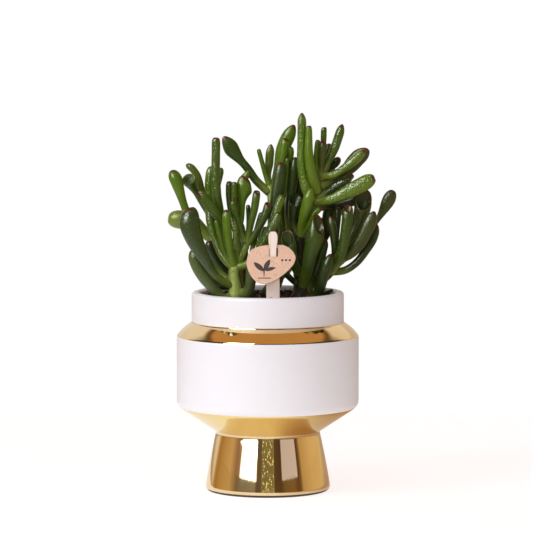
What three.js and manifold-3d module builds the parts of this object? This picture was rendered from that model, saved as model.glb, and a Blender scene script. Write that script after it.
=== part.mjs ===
// A potted hobbit jade: a tubular-leaved succulent in a glazed footed planter, with a small plant tag.
// Millimetres, +Z up. The origin is the centre of the foot's underside, +X is right and +Y is to the back.

import * as THREE from 'three';
import * as BufferGeometryUtils from 'three/addons/utils/BufferGeometryUtils.js';
import Module from 'manifold-3d';

const wasm = await Module();
wasm.setup();

// Driving dimensions

const GAP = 0.3;

const FOOT_RADIUS = 44;
const FOOT_CONTACT_RADIUS = 41;
const FOOT_EDGE_HEIGHT = 3.5;
const FOOT_BEVEL_WIDTH = 0.6;
const FOOT_BEVEL_HEIGHT = 1.2;
const NECK_RADIUS = 36.6;
const NECK_HEIGHT = 41.8;
const NECK_LIP_WIDTH = 0.6;
const NECK_LIP_HEIGHT = 1;
const CONE_TOP_RADIUS = 58.5;
const CONE_TOP_HEIGHT = 56.5;
const BODY_RADIUS = 64;
const BODY_LOW = 63;
const BODY_LOW_ROUNDING_WIDTH = 2;
const BODY_LOW_ROUNDING_HEIGHT = 3.4;
const BODY_HIGH = 109;
const BODY_HIGH_ROUNDING_WIDTH = 0.8;
const BODY_HIGH_ROUNDING_HEIGHT = 1.4;
const COLLAR_RADIUS = 53.5;
const COLLAR_LOW = 118.6;
const SHOULDER_MIDDLE_DROP = 3.4;
const RIM_HEIGHT = 140.4;
const RIM_ROUNDING = 2;
const WALL = 6;
const INNER_CORNER_SHIFT = 4;
const INNER_NECK_RISE = 6;
const POT_SEGMENTS = 36;

const SOIL_HEIGHT = 137;
const SOIL_CLEARANCE = 0.4;
const SOIL_EDGE_WIDTH = 6;
const SOIL_EDGE_DROP = 0.8;
const SOIL_SEGMENTS = 24;

const STICK_CENTRE_X = 3.6;
const STICK_DEPTH = -40;
const STICK_THICKNESS = 1.4;
const STICK_BOTTOM = 112;
const STICK_TOP = 185.8;
const STICK_WIDTH = 9.4;
const STICK_NECK_WIDTH = 4.7;
const STICK_HEAD_WIDTH = 6.4;
const STICK_SHOULDER_HEIGHT = 149;
const STICK_NECK_LOW = 161;
const STICK_NECK_HIGH = 173;
const STICK_END_CHAMFER = 2;

const CARD_THICKNESS = 1.2;
const CARD_TILT = THREE.MathUtils.degToRad(20);
const CARD_SLOT_HEIGHT = 171.2;

const STEM_SIDES = 8;
const LEAF_SIDES = 6;
const RING_SPACING = 17;
const SWELL_FROM = 0.3;
const SWELL_TO = 0.8;
const TIP_ROUNDING = 1.3;
const TIP_RINGS = [0.75, 0.25];
const SLIVER = 0.1;

// The shoots are laid out as they look from an eye in front of the plant. Each point is
// [x, z, depth]: where it is seen on the plane through the pot's axis, and how far behind
// that plane it really lies. placed() moves it along the line of sight to that depth.

const EYE_DISTANCE = 2600;
const EYE_HEIGHT = 378;

function placed([x, z, depth]) {
  const reach = depth / EYE_DISTANCE;
  return new THREE.Vector3(x * (1 + reach), depth, z + (z - EYE_HEIGHT) * reach);
}

// Materials

const GLAZE = new THREE.MeshStandardMaterial({ color: 0xf0e9e6, roughness: 0.25, metalness: 0 });
const SOIL = new THREE.MeshStandardMaterial({ color: 0x2a1d16, roughness: 1, metalness: 0 });
const WOOD = new THREE.MeshStandardMaterial({ color: 0xf1ddcc, roughness: 0.7, metalness: 0 });
const CARD = new THREE.MeshStandardMaterial({ color: 0xe9cdb9, roughness: 0.85, metalness: 0 });
const STEM = new THREE.MeshStandardMaterial({ color: 0x7d8f4a, roughness: 0.55, metalness: 0 });
const LEAF = new THREE.MeshStandardMaterial({ color: 0x557a35, roughness: 0.35, metalness: 0 });

// Solids and meshes

function solidOf(geometry) {
  const bare = new THREE.BufferGeometry();
  bare.setAttribute('position', geometry.getAttribute('position').clone());
  bare.setIndex(geometry.getIndex() ? geometry.getIndex().clone() : null);
  const merged = BufferGeometryUtils.mergeVertices(bare, 1e-4);
  const index = merged.getIndex().array;
  const triangles = [];
  for (let i = 0; i < index.length; i += 3) {
    const [a, b, c] = [index[i], index[i + 1], index[i + 2]];
    if (a !== b && b !== c && c !== a) {
      triangles.push(a, b, c);
    }
  }
  const mesh = new wasm.Mesh({
    numProp: 3,
    vertProperties: new Float32Array(merged.getAttribute('position').array),
    triVerts: new Uint32Array(triangles),
  });
  return new wasm.Manifold(mesh);
}

function geometryOf(solid) {
  const mesh = solid.getMesh();
  const geometry = new THREE.BufferGeometry();
  geometry.setAttribute('position', new THREE.BufferAttribute(new Float32Array(mesh.vertProperties), 3));
  geometry.setIndex(new THREE.BufferAttribute(new Uint32Array(mesh.triVerts), 1));
  geometry.computeVertexNormals();
  return geometry;
}

function largestBody(solid) {
  let largest = null;
  for (const body of solid.decompose()) {
    if (largest === null || body.volume() > largest.volume()) {
      largest = body;
    }
  }
  return largest;
}

function boxesMeet(a, b) {
  const boxA = a.boundingBox();
  const boxB = b.boundingBox();
  return [0, 1, 2].every((i) => boxA.min[i] < boxB.max[i] && boxB.min[i] < boxA.max[i]);
}

// What is left of a solid once its neighbours, each with its clearance, are cut away.
function clearOf(solid, neighbours) {
  const near = neighbours.filter((neighbour) => boxesMeet(solid, neighbour));
  if (near.length === 0) {
    return solid;
  }
  return largestBody(solid.subtract(wasm.Manifold.union(near)).simplify(SLIVER));
}

const plant = new THREE.Group();
const pot = new THREE.Group();
const tag = new THREE.Group();

function addPiece(group, name, solid, material) {
  const mesh = new THREE.Mesh(geometryOf(solid), material);
  mesh.name = name;
  group.add(mesh);
}

// A fleshy shoot is a lathe profile bent along a curve. Its radius grows from the stalk to the
// head, its end is rounded, and its section is pressed flatter from front to back by `flat`.

function shootRadius(along, length, stalk, head, sides) {
  const swell = THREE.MathUtils.smoothstep(along, SWELL_FROM * length, SWELL_TO * length);
  const radius = stalk + (head - stalk) * swell;
  const fromTip = Math.max(0, 1 - (length - along) / (TIP_ROUNDING * head));
  const outward = 1 / Math.cos(Math.PI / sides / 2);
  return radius * outward * Math.sqrt(Math.max(0, 1 - fromTip * fromTip));
}

function shoot({ path, stalk, head, flat = 1 }, sides, extra = 0) {
  const curve = new THREE.CatmullRomCurve3(path.map(placed), false, 'centripetal');
  const length = curve.getLength();
  const rings = Math.max(4, Math.round(length / RING_SPACING));
  const roundedFrom = length - TIP_ROUNDING * head;
  const stops = [0];
  for (let i = 1; i <= rings; i += 1) {
    stops.push((roundedFrom * i) / rings);
  }
  stops.push(...TIP_RINGS.map((share) => length - share * head));
  const profile = [new THREE.Vector2(0, 0)];
  for (const along of stops) {
    profile.push(new THREE.Vector2(shootRadius(along, length, stalk, head, sides) + extra, along));
  }
  profile.push(new THREE.Vector2(0, length));
  const geometry = new THREE.LatheGeometry(profile, sides);
  const position = geometry.getAttribute('position');
  const depthAxis = new THREE.Vector3(0, 1, 0);
  for (let i = 0; i < position.count; i += 1) {
    const along = THREE.MathUtils.clamp(position.getY(i) / length, 0, 1);
    const centre = curve.getPointAt(along);
    const tangent = curve.getTangentAt(along);
    const side = tangent.clone().cross(depthAxis).normalize();
    const back = side.clone().cross(tangent);
    centre.addScaledVector(side, position.getX(i));
    centre.addScaledVector(back, position.getZ(i) * flat);
    if (position.getX(i) ** 2 + position.getZ(i) ** 2 < 1e-6) {
      centre.addScaledVector(tangent, along < 0.5 ? -extra : extra);
    }
    position.setXYZ(i, centre.x, centre.y, centre.z);
  }
  return solidOf(geometry);
}

// The pot: foot, neck, flared cone, straight body, sloping shoulder and collar in one shell.

function arc(centreR, centreZ, radius, from, to, steps) {
  const points = [];
  for (let i = 0; i <= steps; i += 1) {
    const angle = THREE.MathUtils.degToRad(from + ((to - from) * i) / steps);
    points.push(new THREE.Vector2(centreR + radius * Math.cos(angle), centreZ + radius * Math.sin(angle)));
  }
  return points;
}

function potOutside() {
  return [
    new THREE.Vector2(0, 0),
    new THREE.Vector2(FOOT_CONTACT_RADIUS, 0),
    new THREE.Vector2(FOOT_RADIUS - FOOT_BEVEL_WIDTH, FOOT_BEVEL_HEIGHT),
    new THREE.Vector2(FOOT_RADIUS, FOOT_EDGE_HEIGHT),
    new THREE.Vector2(NECK_RADIUS, NECK_HEIGHT),
    new THREE.Vector2(NECK_RADIUS + NECK_LIP_WIDTH, NECK_HEIGHT + NECK_LIP_HEIGHT),
    new THREE.Vector2(CONE_TOP_RADIUS, CONE_TOP_HEIGHT),
    new THREE.Vector2(BODY_RADIUS - BODY_LOW_ROUNDING_WIDTH, BODY_LOW - BODY_LOW_ROUNDING_HEIGHT),
    new THREE.Vector2(BODY_RADIUS, BODY_LOW),
    new THREE.Vector2(BODY_RADIUS, BODY_HIGH),
    new THREE.Vector2(BODY_RADIUS - BODY_HIGH_ROUNDING_WIDTH, BODY_HIGH + BODY_HIGH_ROUNDING_HEIGHT),
    new THREE.Vector2((BODY_RADIUS + COLLAR_RADIUS) / 2, COLLAR_LOW - SHOULDER_MIDDLE_DROP),
    new THREE.Vector2(COLLAR_RADIUS, COLLAR_LOW),
    ...arc(COLLAR_RADIUS - RIM_ROUNDING, RIM_HEIGHT - RIM_ROUNDING, RIM_ROUNDING, 0, 90, 2),
  ];
}

// The inside follows the outside at one wall's thickness, down through the neck into the foot.
function potInside(clearance) {
  const inset = WALL + clearance;
  return [
    new THREE.Vector2(COLLAR_RADIUS - inset, COLLAR_LOW - INNER_CORNER_SHIFT),
    new THREE.Vector2(BODY_RADIUS - inset, BODY_HIGH - INNER_CORNER_SHIFT),
    new THREE.Vector2(BODY_RADIUS - inset, BODY_LOW + INNER_CORNER_SHIFT),
    new THREE.Vector2(NECK_RADIUS - inset, NECK_HEIGHT + INNER_NECK_RISE),
    new THREE.Vector2(NECK_RADIUS - inset, NECK_HEIGHT),
    new THREE.Vector2(FOOT_RADIUS - inset, WALL + clearance),
    new THREE.Vector2(0, WALL + clearance),
  ];
}

const rimInner = COLLAR_RADIUS - WALL;
const potProfile = [
  ...potOutside(),
  ...arc(rimInner + RIM_ROUNDING, RIM_HEIGHT - RIM_ROUNDING, RIM_ROUNDING, 90, 180, 2),
  ...potInside(0),
];
const uprightFromLathe = new THREE.Matrix4().makeRotationX(Math.PI / 2);

function turned(profile, segments) {
  return new THREE.LatheGeometry(profile, segments).applyMatrix4(uprightFromLathe);
}

addPiece(pot, 'pot', solidOf(turned(potProfile, POT_SEGMENTS)), GLAZE);

// The tag: a flat wooden stick whose neck passes through a slot in a leaf-shaped card.

function stickShape(extra) {
  const half = STICK_WIDTH / 2 + extra;
  const neck = STICK_NECK_WIDTH / 2 + extra;
  const head = STICK_HEAD_WIDTH / 2 + extra;
  const headCentre = STICK_TOP - STICK_HEAD_WIDTH / 2;
  const swellEnd = headCentre - STICK_END_CHAMFER;
  const swellBend = (STICK_NECK_HIGH + swellEnd) / 2;
  const taperBend = (STICK_SHOULDER_HEIGHT + STICK_NECK_LOW) / 2;
  const endCorner = STICK_BOTTOM + 3 * STICK_END_CHAMFER;
  const shape = new THREE.Shape();
  shape.moveTo(-half + STICK_END_CHAMFER, STICK_BOTTOM - extra);
  shape.lineTo(half - STICK_END_CHAMFER, STICK_BOTTOM - extra);
  shape.lineTo(half, endCorner);
  shape.lineTo(half, STICK_SHOULDER_HEIGHT);
  shape.quadraticCurveTo(half, taperBend, neck, STICK_NECK_LOW);
  shape.lineTo(neck, STICK_NECK_HIGH);
  shape.quadraticCurveTo(neck, swellBend, head, swellEnd);
  shape.absarc(0, headCentre, head, 0, Math.PI, false);
  shape.lineTo(-head, swellEnd);
  shape.quadraticCurveTo(-neck, swellBend, -neck, STICK_NECK_HIGH);
  shape.lineTo(-neck, STICK_NECK_LOW);
  shape.quadraticCurveTo(-half, taperBend, -half, STICK_SHOULDER_HEIGHT);
  shape.lineTo(-half, endCorner);
  shape.closePath();
  return shape;
}

function upright(shape, thickness, curveSegments) {
  const geometry = new THREE.ExtrudeGeometry(shape, { depth: thickness, bevelEnabled: false, curveSegments });
  geometry.translate(0, 0, -thickness / 2);
  return geometry.rotateX(Math.PI / 2);
}

function stick(extra) {
  const geometry = upright(stickShape(extra), STICK_THICKNESS + 2 * extra, 5);
  return solidOf(geometry.translate(STICK_CENTRE_X, STICK_DEPTH, 0));
}

// The card's outline, from its left end round over the top, measured from the slot.
const CARD_OUTLINE = [
  [-18.3, -6.7], [-16.1, 0.4], [-11.9, 3.2], [-5.6, 4.9], [4.9, 5.3], [9.8, 3.9], [13.3, 1.1],
  [15.4, -2.5], [15.4, -5.3], [14, -8.8], [10.5, -13], [5.6, -17.2], [0.7, -20.4], [-3.5, -22.1],
  [-7.7, -22.5], [-11.9, -20.7], [-15.4, -16.5], [-17.5, -11.6],
];

function card() {
  const shape = new THREE.Shape(CARD_OUTLINE.map(([x, z]) => new THREE.Vector2(x, z)));
  const geometry = upright(shape, CARD_THICKNESS, 1);
  geometry.rotateX(-CARD_TILT);
  geometry.translate(STICK_CENTRE_X, STICK_DEPTH, CARD_SLOT_HEIGHT);
  return solidOf(geometry);
}

const stickClearance = stick(GAP);
addPiece(tag, 'tag_stick', stick(0), WOOD);
addPiece(tag, 'tag_card', clearOf(card(), [stickClearance]), CARD);

// Stems. Each is one grown piece of one or more rods, which carries its own small young leaves.

const STEMS = {
  left_stem: [
    { path: [[-22, 126, -20], [-23, 143, -20], [-24, 152, -20], [-23, 161, -19]], stalk: 4.6, head: 3.6 },
    { path: [[-23, 158, -19], [-22.3, 168, -17], [-22.3, 184, -13]], stalk: 3.4, head: 2.6 },
    { path: [[-22.5, 156, -19], [-20, 164, -18], [-17.5, 170, -16], [-15, 176, -14]], stalk: 2.3, head: 2.3 },
    { path: [[-23, 158, -19], [-16, 159, -20], [-10, 163, -19]], stalk: 2.6, head: 2.4 },
  ],
  rear_left_stem: [
    { path: [[-17, 126, 0], [-21.5, 148, 0], [-25.5, 164, 1], [-28.5, 176, 0]], stalk: 4, head: 2.7 },
  ],
  centre_stem: [
    { path: [[2, 126, -6], [3, 150, -4], [2.5, 175, 0], [2.5, 195, 3], [1.5, 216, 6]], stalk: 3.8, head: 2.4 },
  ],
  rear_stem: [
    { path: [[4, 124, 20], [4, 150, 22], [5, 172, 26], [6, 189, 30]], stalk: 3.8, head: 2.6 },
  ],
  main_stem: [
    { path: [[24, 124, 0], [24, 138, 0], [23.5, 150, 0], [23, 160, 0]], stalk: 7, head: 5 },
    { path: [[23.4, 150, 0], [22.8, 168, 0], [22.5, 180, 0], [28, 195, 0]], stalk: 5.4, head: 3.5 },
    { path: [[22.5, 180, 0], [28, 194, 0], [33.5, 208, 0], [37.3, 226, 0]], stalk: 3.4, head: 2.4 },
    { path: [[24, 145, 1], [35, 148, 2], [42, 152.5, 1], [48, 159, 1], [54, 170, 3]], stalk: 4, head: 2.6 },
    { path: [[22, 160, 2], [18, 172, 7], [16, 184, 10], [15, 193, 11]], stalk: 2.8, head: 2.2 },
  ],
};

// Young leaves, joined to the stem that carries them.

const YOUNG_LEAVES = [
  { stem: 'rear_left_stem', path: [[-28, 172, 2], [-33, 195, 4], [-33.3, 214, 4], [-32.3, 228, 4]],
    stalk: 1.8, head: 2.5 },
  { stem: 'left_stem', path: [[-26, 158, -20], [-31.5, 171, -22.5], [-34, 180.5, -23], [-36.5, 191, -22]],
    stalk: 1.3, head: 1.7 },
  { stem: 'left_stem', path: [[-12, 163, -19], [-9.5, 177, -11], [-6, 189, -8], [-4, 196, -8]],
    stalk: 1.8, head: 2.3 },
  { stem: 'left_stem', path: [[-23, 181, -12], [-26, 196, -7], [-27, 207, -6], [-27, 218, -6]],
    stalk: 1.7, head: 2.4 },
  { stem: 'left_stem', path: [[-15, 175, -13], [-13.6, 190, -8], [-13.8, 201.5, -7]], stalk: 1.3, head: 1.6 },
  { stem: 'left_stem', path: [[-16, 174, -14], [-20, 187.5, -18], [-23, 196.5, -19], [-25, 205.5, -19]],
    stalk: 1.8, head: 2.2 },
  { stem: 'centre_stem', path: [[0, 140, -7], [-5, 138.5, -18], [-2, 142, -21], [1, 147, -21]],
    stalk: 1.3, head: 1.5 },
  { stem: 'centre_stem', path: [[1, 214, 6], [-2, 224.5, 6], [-4.5, 233, 5], [-6.5, 240.5, 4.5]],
    stalk: 1.9, head: 1.6 },
  { stem: 'centre_stem', path: [[1.4, 214, 7], [1, 226, 10], [1.3, 235, 11], [2.3, 244, 11]],
    stalk: 1.3, head: 3, flat: 0.6 },
  { stem: 'centre_stem', path: [[3, 192, 3], [9.5, 201, 0], [12, 212, -1], [13.8, 234.5, -1]],
    stalk: 1.4, head: 1.6 },
  { stem: 'main_stem', path: [[23, 179, -1], [29, 187, -8], [32.5, 195, -10], [37.5, 199.5, -10.5]],
    stalk: 1.5, head: 1.7 },
  { stem: 'main_stem', path: [[37, 222, 0], [34, 229, -3], [33.8, 236, -3], [35.2, 247, -3]],
    stalk: 1.5, head: 1.8 },
  { stem: 'main_stem', path: [[37.2, 222, 0], [37.8, 231, -5], [38.3, 238, -6], [38.6, 246, -6]],
    stalk: 1.8, head: 2.1 },
  { stem: 'main_stem', path: [[37.2, 222, 1], [42, 230, 6], [43, 238, 7], [43, 244.5, 7]],
    stalk: 1.7, head: 2.4 },
  { stem: 'main_stem', path: [[37.2, 221, 1], [44.5, 227, 10], [50.5, 233, 12]], stalk: 2, head: 2.3 },
  { stem: 'main_stem', path: [[35, 211, 1], [47, 213.5, 8], [55, 218.5, 10], [60, 222.5, 10]],
    stalk: 1.8, head: 2 },
  { stem: 'main_stem', path: [[44, 154.5, 1], [47, 166, -5], [46.3, 180, -8], [43.8, 193.5, -9]],
    stalk: 2.2, head: 2.8 },
  { stem: 'main_stem', path: [[46.5, 157.5, 1], [47.5, 170, 1], [47.5, 182, 0], [48.3, 199, 0]],
    stalk: 2.1, head: 2.6 },
  { stem: 'main_stem', path: [[32, 200, 1], [43, 199, 9], [55, 201, 10], [67, 206, 9]],
    stalk: 2.4, head: 4 },
  { stem: 'main_stem', path: [[20, 146, -2], [15, 150.5, -8], [10, 156.5, -10]], stalk: 2.1, head: 2.3 },
  { stem: 'main_stem', path: [[30, 140, 2], [39, 139, 5], [46, 141.5, 6]], stalk: 1.2, head: 1.3 },
  { stem: 'rear_left_stem', path: [[-21, 147, 1], [-29.5, 154.5, 1], [-36.5, 164, 2], [-42, 176, 3]],
    stalk: 2.6, head: 3.2 },
  { stem: 'rear_left_stem', path: [[-22, 150, 1], [-27, 160, 14], [-28, 172, 24], [-28, 184, 31]],
    stalk: 2.6, head: 3.2 },
  { stem: 'rear_left_stem', path: [[-26, 166, 1], [-33, 176, 14], [-38, 187, 24], [-38.5, 199, 30]],
    stalk: 2, head: 2.6 },
  { stem: 'left_stem', path: [[-22.3, 181, -13], [-22, 190, 4], [-21, 200, 14], [-20, 209, 19]],
    stalk: 1.8, head: 2.6 },
  { stem: 'centre_stem', path: [[3, 148, -4], [0, 160, 11], [-3, 172, 22], [-1, 186, 30]],
    stalk: 2.4, head: 3 },
  { stem: 'centre_stem', path: [[2.5, 165, -1], [9, 178, 7], [10, 192, 15], [9, 206, 20]],
    stalk: 2.2, head: 2.8 },
  { stem: 'rear_stem', path: [[5, 178, 27], [4, 190, 38], [5, 203, 45], [6.5, 218, 48]],
    stalk: 2.2, head: 3 },
  { stem: 'rear_stem', path: [[6, 187, 30], [9, 200, 36], [10, 215, 38], [10.5, 230, 38]],
    stalk: 2, head: 2.6 },
  { stem: 'main_stem', path: [[28, 194, 1], [30, 204, 14], [31, 216, 24], [30.5, 228, 30]],
    stalk: 2.2, head: 2.8 },
  { stem: 'main_stem', path: [[33.5, 207, 1], [40, 214, 14], [44, 221, 24], [45, 229, 30]],
    stalk: 2, head: 2.6 },
  { stem: 'main_stem', path: [[53, 167, 3], [62, 172, 14], [67, 181, 24], [66, 193, 30]],
    stalk: 2.2, head: 3 },
];

// Full-grown leaves, each a piece of its own that sits at its stem.

const LEAVES = [
  { name: 'left_front_leaf', path: [[-24, 143.5, -20], [-36.5, 151.5, -28], [-44, 163, -32],
    [-51.5, 177, -34], [-55, 189.5, -34], [-55, 200, -33]], stalk: 4.9, head: 6.3, flat: 0.85 },
  { name: 'left_low_leaf', path: [[-23, 139, -20], [-32, 137.5, -24], [-40.5, 146, -25],
    [-48, 155.5, -25], [-53.5, 170, -25]], stalk: 3.8, head: 4.4 },
  { name: 'left_outer_leaf', path: [[-24, 146, -19], [-35.5, 154.5, -15], [-44, 165.5, -16],
    [-50, 177, -18], [-54.5, 189.5, -19], [-59.5, 203.5, -19], [-66.5, 226, -19]], stalk: 3.3, head: 4.6 },
  { name: 'left_round_leaf', path: [[-26.5, 168, 1], [-36, 174, 8], [-47.5, 184.5, 12],
    [-54.5, 189.5, 12], [-70, 192, 12]], stalk: 3.2, head: 6.4, flat: 0.6 },
  { name: 'left_long_leaf', path: [[-24, 156, -20], [-32, 165.5, -17], [-37, 177, -12],
    [-40.5, 189.5, -8], [-41, 205, -5], [-41, 219, -5], [-39.5, 228.5, -5]], stalk: 2.6, head: 3.1 },
  { name: 'left_tall_leaf', path: [[-28, 173, 0], [-32.5, 187.5, -5], [-35, 201.5, -9],
    [-36.3, 212, -11], [-36.3, 247.8, -12]], stalk: 3, head: 3.4 },
  { name: 'left_olive_leaf', path: [[-27, 170, 1], [-36, 184, 5], [-40, 195, 5], [-42.5, 202, 4],
    [-46, 210, 2], [-50, 223, 0], [-56.5, 230.5, 0]], stalk: 2, head: 2.8 },
  { name: 'left_trumpet_leaf', path: [[-27.5, 171, 0], [-35, 184, -1], [-41, 197, -0.5],
    [-46.5, 204, -4], [-50, 211, -7], [-55, 219.5, -13]], stalk: 1.7, head: 3.8 },
  { name: 'left_hooked_leaf', path: [[-23.5, 161, -18], [-27, 175.5, -16], [-32, 188, -17],
    [-38.5, 198, -18], [-49, 210.5, -19]], stalk: 2, head: 3.6 },
  { name: 'left_centre_leaf', path: [[-23.5, 156, -19], [-26.5, 170, -25], [-28.5, 184, -27],
    [-29, 198, -27]], stalk: 2.8, head: 3.1 },
  { name: 'inner_upright_leaf', path: [[-15, 174, -14], [-12, 187.5, -17], [-9.5, 198, -18],
    [-7.5, 211.5, -18]], stalk: 2.3, head: 2.7 },
  { name: 'inner_leaning_leaf', path: [[-15, 173, -14], [-7, 184, -17], [-2.5, 192.5, -18],
    [0.7, 203, -18]], stalk: 2.2, head: 2.8 },
  { name: 'orange_tip_leaf', path: [[-11, 162, -18], [-4, 175, -15], [2, 186, -15],
    [10.5, 208.5, -15]], stalk: 2.2, head: 3 },
  { name: 'above_tag_leaf', path: [[-11, 162, -19], [-4, 173, -23], [1.5, 182, -25], [8.5, 196, -26]],
    stalk: 2.5, head: 3.3 },
  { name: 'behind_tag_leaf', path: [[-20.5, 139, -20], [-14, 140, -26], [-12, 148, -28],
    [-11, 158, -28], [-9, 169, -27]], stalk: 3.6, head: 4.1 },
  { name: 'inner_narrow_leaf', path: [[-22.3, 182, -13], [-22.5, 193, -12], [-23.5, 205, -12],
    [-23.5, 217.5, -12]], stalk: 1.8, head: 2.1 },
  { name: 'inner_spoon_leaf', path: [[-22, 181, -12], [-19, 189, -9], [-18, 199, -8],
    [-17.5, 207, -8], [-15, 221.5, -8]], stalk: 2, head: 5.2, flat: 0.5 },
  { name: 'inner_brown_tip_leaf', path: [[-22.5, 181, -12], [-23, 196, -3], [-21.5, 208, -2],
    [-18.5, 218, -1.5], [-12, 224.8, -1]], stalk: 1.9, head: 2.5 },
  { name: 'arching_spoon_leaf', path: [[2, 209, 5], [-3, 213.5, 6], [-8.5, 219, 7], [-14.5, 227.5, 8],
    [-21, 235, 8], [-31, 250.5, 6]], stalk: 3.2, head: 6.4, flat: 0.55 },
  { name: 'centre_rear_leaf', path: [[2.5, 206, 5], [5, 219, 8], [7.5, 231, 9], [10, 240, 9],
    [18.7, 257.5, 7]], stalk: 2.5, head: 4.6 },
  { name: 'centre_slim_leaf', path: [[2.5, 199, 4], [7.5, 214, 3], [9.5, 227, 3], [12.5, 248.3, 3]],
    stalk: 2.2, head: 3.3 },
  { name: 'centre_broad_leaf', path: [[2.5, 170, -1], [3, 185, -6], [4, 197, -7], [6, 208, -7],
    [9.7, 231.5, -6]], stalk: 3.4, head: 4.3 },
  { name: 'beside_tag_leaf', path: [[3, 138, -7], [7, 146, -16], [9.5, 155, -18], [10.5, 167, -18]],
    stalk: 3, head: 3.2 },
  { name: 'crown_upright_leaf', path: [[15, 192, 11], [14.5, 210, 11], [15, 228, 8], [16.2, 242.3, 4]],
    stalk: 2, head: 2.6 },
  { name: 'crown_red_tip_leaf', path: [[15.5, 183, 9], [14.5, 195, 5], [16, 208, 3], [18.3, 225, 3],
    [20, 235, 3]], stalk: 2.8, head: 4 },
  { name: 'crown_cupped_leaf', path: [[22.5, 180, 0], [18, 187, -2], [17.8, 195, -3], [21.5, 212, -2.5]],
    stalk: 2.2, head: 4 },
  { name: 'tallest_leaf', path: [[31.5, 203, 0], [27, 212, -7], [24.5, 222, -8], [23.5, 232, -9],
    [23.8, 244, -9], [23.9, 266, -9]], stalk: 3.6, head: 3.1 },
  { name: 'tall_bright_leaf', path: [[34.9, 211, 0], [33, 219, -8], [31, 228, -12], [29.5, 237, -13.5],
    [29, 257, -13.5]], stalk: 3.2, head: 2.5 },
  { name: 'crown_front_leaf', path: [[22.8, 179, 0], [25, 192, -9], [27.5, 201.5, -13], [31, 213, -15]],
    stalk: 3.4, head: 3.9 },
  { name: 'crown_thin_leaf', path: [[37.2, 223, 0], [37.5, 234, 0], [38.8, 243, 0], [39.3, 256, 0]],
    stalk: 1.6, head: 2 },
  { name: 'crown_leaning_leaf', path: [[37.2, 221, 0], [42.5, 232, -1], [46.5, 240.5, -1],
    [52.4, 258, -1]], stalk: 2.2, head: 2.4 },
  { name: 'crown_bright_leaf', path: [[36.8, 221.5, 0], [47, 223, -5], [54, 227.5, -6], [61, 233, -6],
    [68.5, 240, -6]], stalk: 3, head: 3.5 },
  { name: 'crown_spoon_leaf', path: [[36, 216, 0], [48, 218.5, 6], [57, 225.5, 7], [62.5, 233, 7],
    [65.2, 242, 6]], stalk: 2.8, head: 5.5, flat: 0.55 },
  { name: 'right_dark_leaf', path: [[34.5, 206, 0], [43.5, 211.5, 0], [50.5, 216, -0.5], [59.5, 221.5, -1]],
    stalk: 2.6, head: 3.8 },
  { name: 'right_bright_leaf', path: [[32.5, 203, 0], [43.5, 205, -9], [52, 208.5, -11], [61, 213, -12],
    [75.2, 220.5, -12]], stalk: 3.2, head: 4.6 },
  { name: 'right_curved_leaf', path: [[44, 154, 1], [54.5, 155.5, -4], [62.5, 161, -5], [69, 169.5, -5],
    [74, 178, -4], [76.3, 188.5, -3]], stalk: 2.6, head: 2.9 },
  { name: 'right_broad_leaf', path: [[50.5, 162, 1], [59, 168, -9], [65.5, 176.5, -12], [70, 185, -13],
    [74.7, 197, -13]], stalk: 3, head: 4.4 },
  { name: 'right_cup_leaf', path: [[43, 153, 1], [51, 166, -12], [54, 177, -16], [56.7, 201, -17]],
    stalk: 3.4, head: 3.8 },
  { name: 'right_trumpet_leaf', path: [[53, 167, 3], [57.5, 177, -1], [62.5, 185.5, -2], [66, 197, -3],
    [68.5, 211, -7]], stalk: 3.8, head: 5.8, flat: 0.9 },
  { name: 'right_far_leaf', path: [[53, 167, 3], [62, 173.5, 10], [70, 182.5, 13], [78, 192.5, 14],
    [88.2, 211.5, 14]], stalk: 2.2, head: 4.3, flat: 0.7 },
  { name: 'front_trumpet_leaf', path: [[24.5, 143, 0], [27.5, 155, -11], [30, 166, -15],
    [34, 181, -17], [37.5, 193.5, -17]], stalk: 5.2, head: 6.8, flat: 0.85 },
  { name: 'front_dark_leaf', path: [[27, 138, 0], [33, 152, -7], [37, 164, -8], [40, 177.5, -8]],
    stalk: 2.9, head: 3.4 },
  { name: 'front_low_leaf', path: [[26, 139, 0], [33, 141, -12], [37.5, 149, -16], [44.6, 167, -17]],
    stalk: 3.6, head: 4.3 },
  { name: 'front_cupped_leaf', path: [[22.5, 151, 0], [18.5, 163, -10], [17, 173, -13], [15, 183, -14]],
    stalk: 3.3, head: 5.2, flat: 0.8 },
  { name: 'rear_low_leaf', path: [[-20.5, 146, 1], [-17, 158, 15], [-17, 173, 27], [-20, 189, 35]],
    stalk: 2.7, head: 3.2 },
  { name: 'rear_trunk_leaf', path: [[23.5, 149, 0], [24, 160, 17], [24, 172, 29], [24.5, 186, 37]],
    stalk: 3, head: 3.5 },
  { name: 'rear_crown_leaf', path: [[23, 156, 0], [30, 165, 17], [33, 178, 30], [34, 192, 38]],
    stalk: 3, head: 3.5 },
  { name: 'rear_right_leaf', path: [[47, 158, 1], [55, 166, 15], [58, 176, 28], [57, 190, 36]],
    stalk: 2.8, head: 3.3 },
  { name: 'back_left_leaf', path: [[4.5, 156, 23], [-2, 166, 36], [-6, 175, 45], [-6, 184, 49]],
    stalk: 2.8, head: 3.2 },
  { name: 'back_right_leaf', path: [[5, 168, 25], [12, 180, 38], [15, 193, 46], [15, 207, 50]],
    stalk: 2.7, head: 3.3 },
  { name: 'back_low_leaf', path: [[4, 147, 22], [14, 156, 38], [20, 166, 48], [22, 180, 52]],
    stalk: 3, head: 3.5 },
];

const clearances = [];

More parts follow.
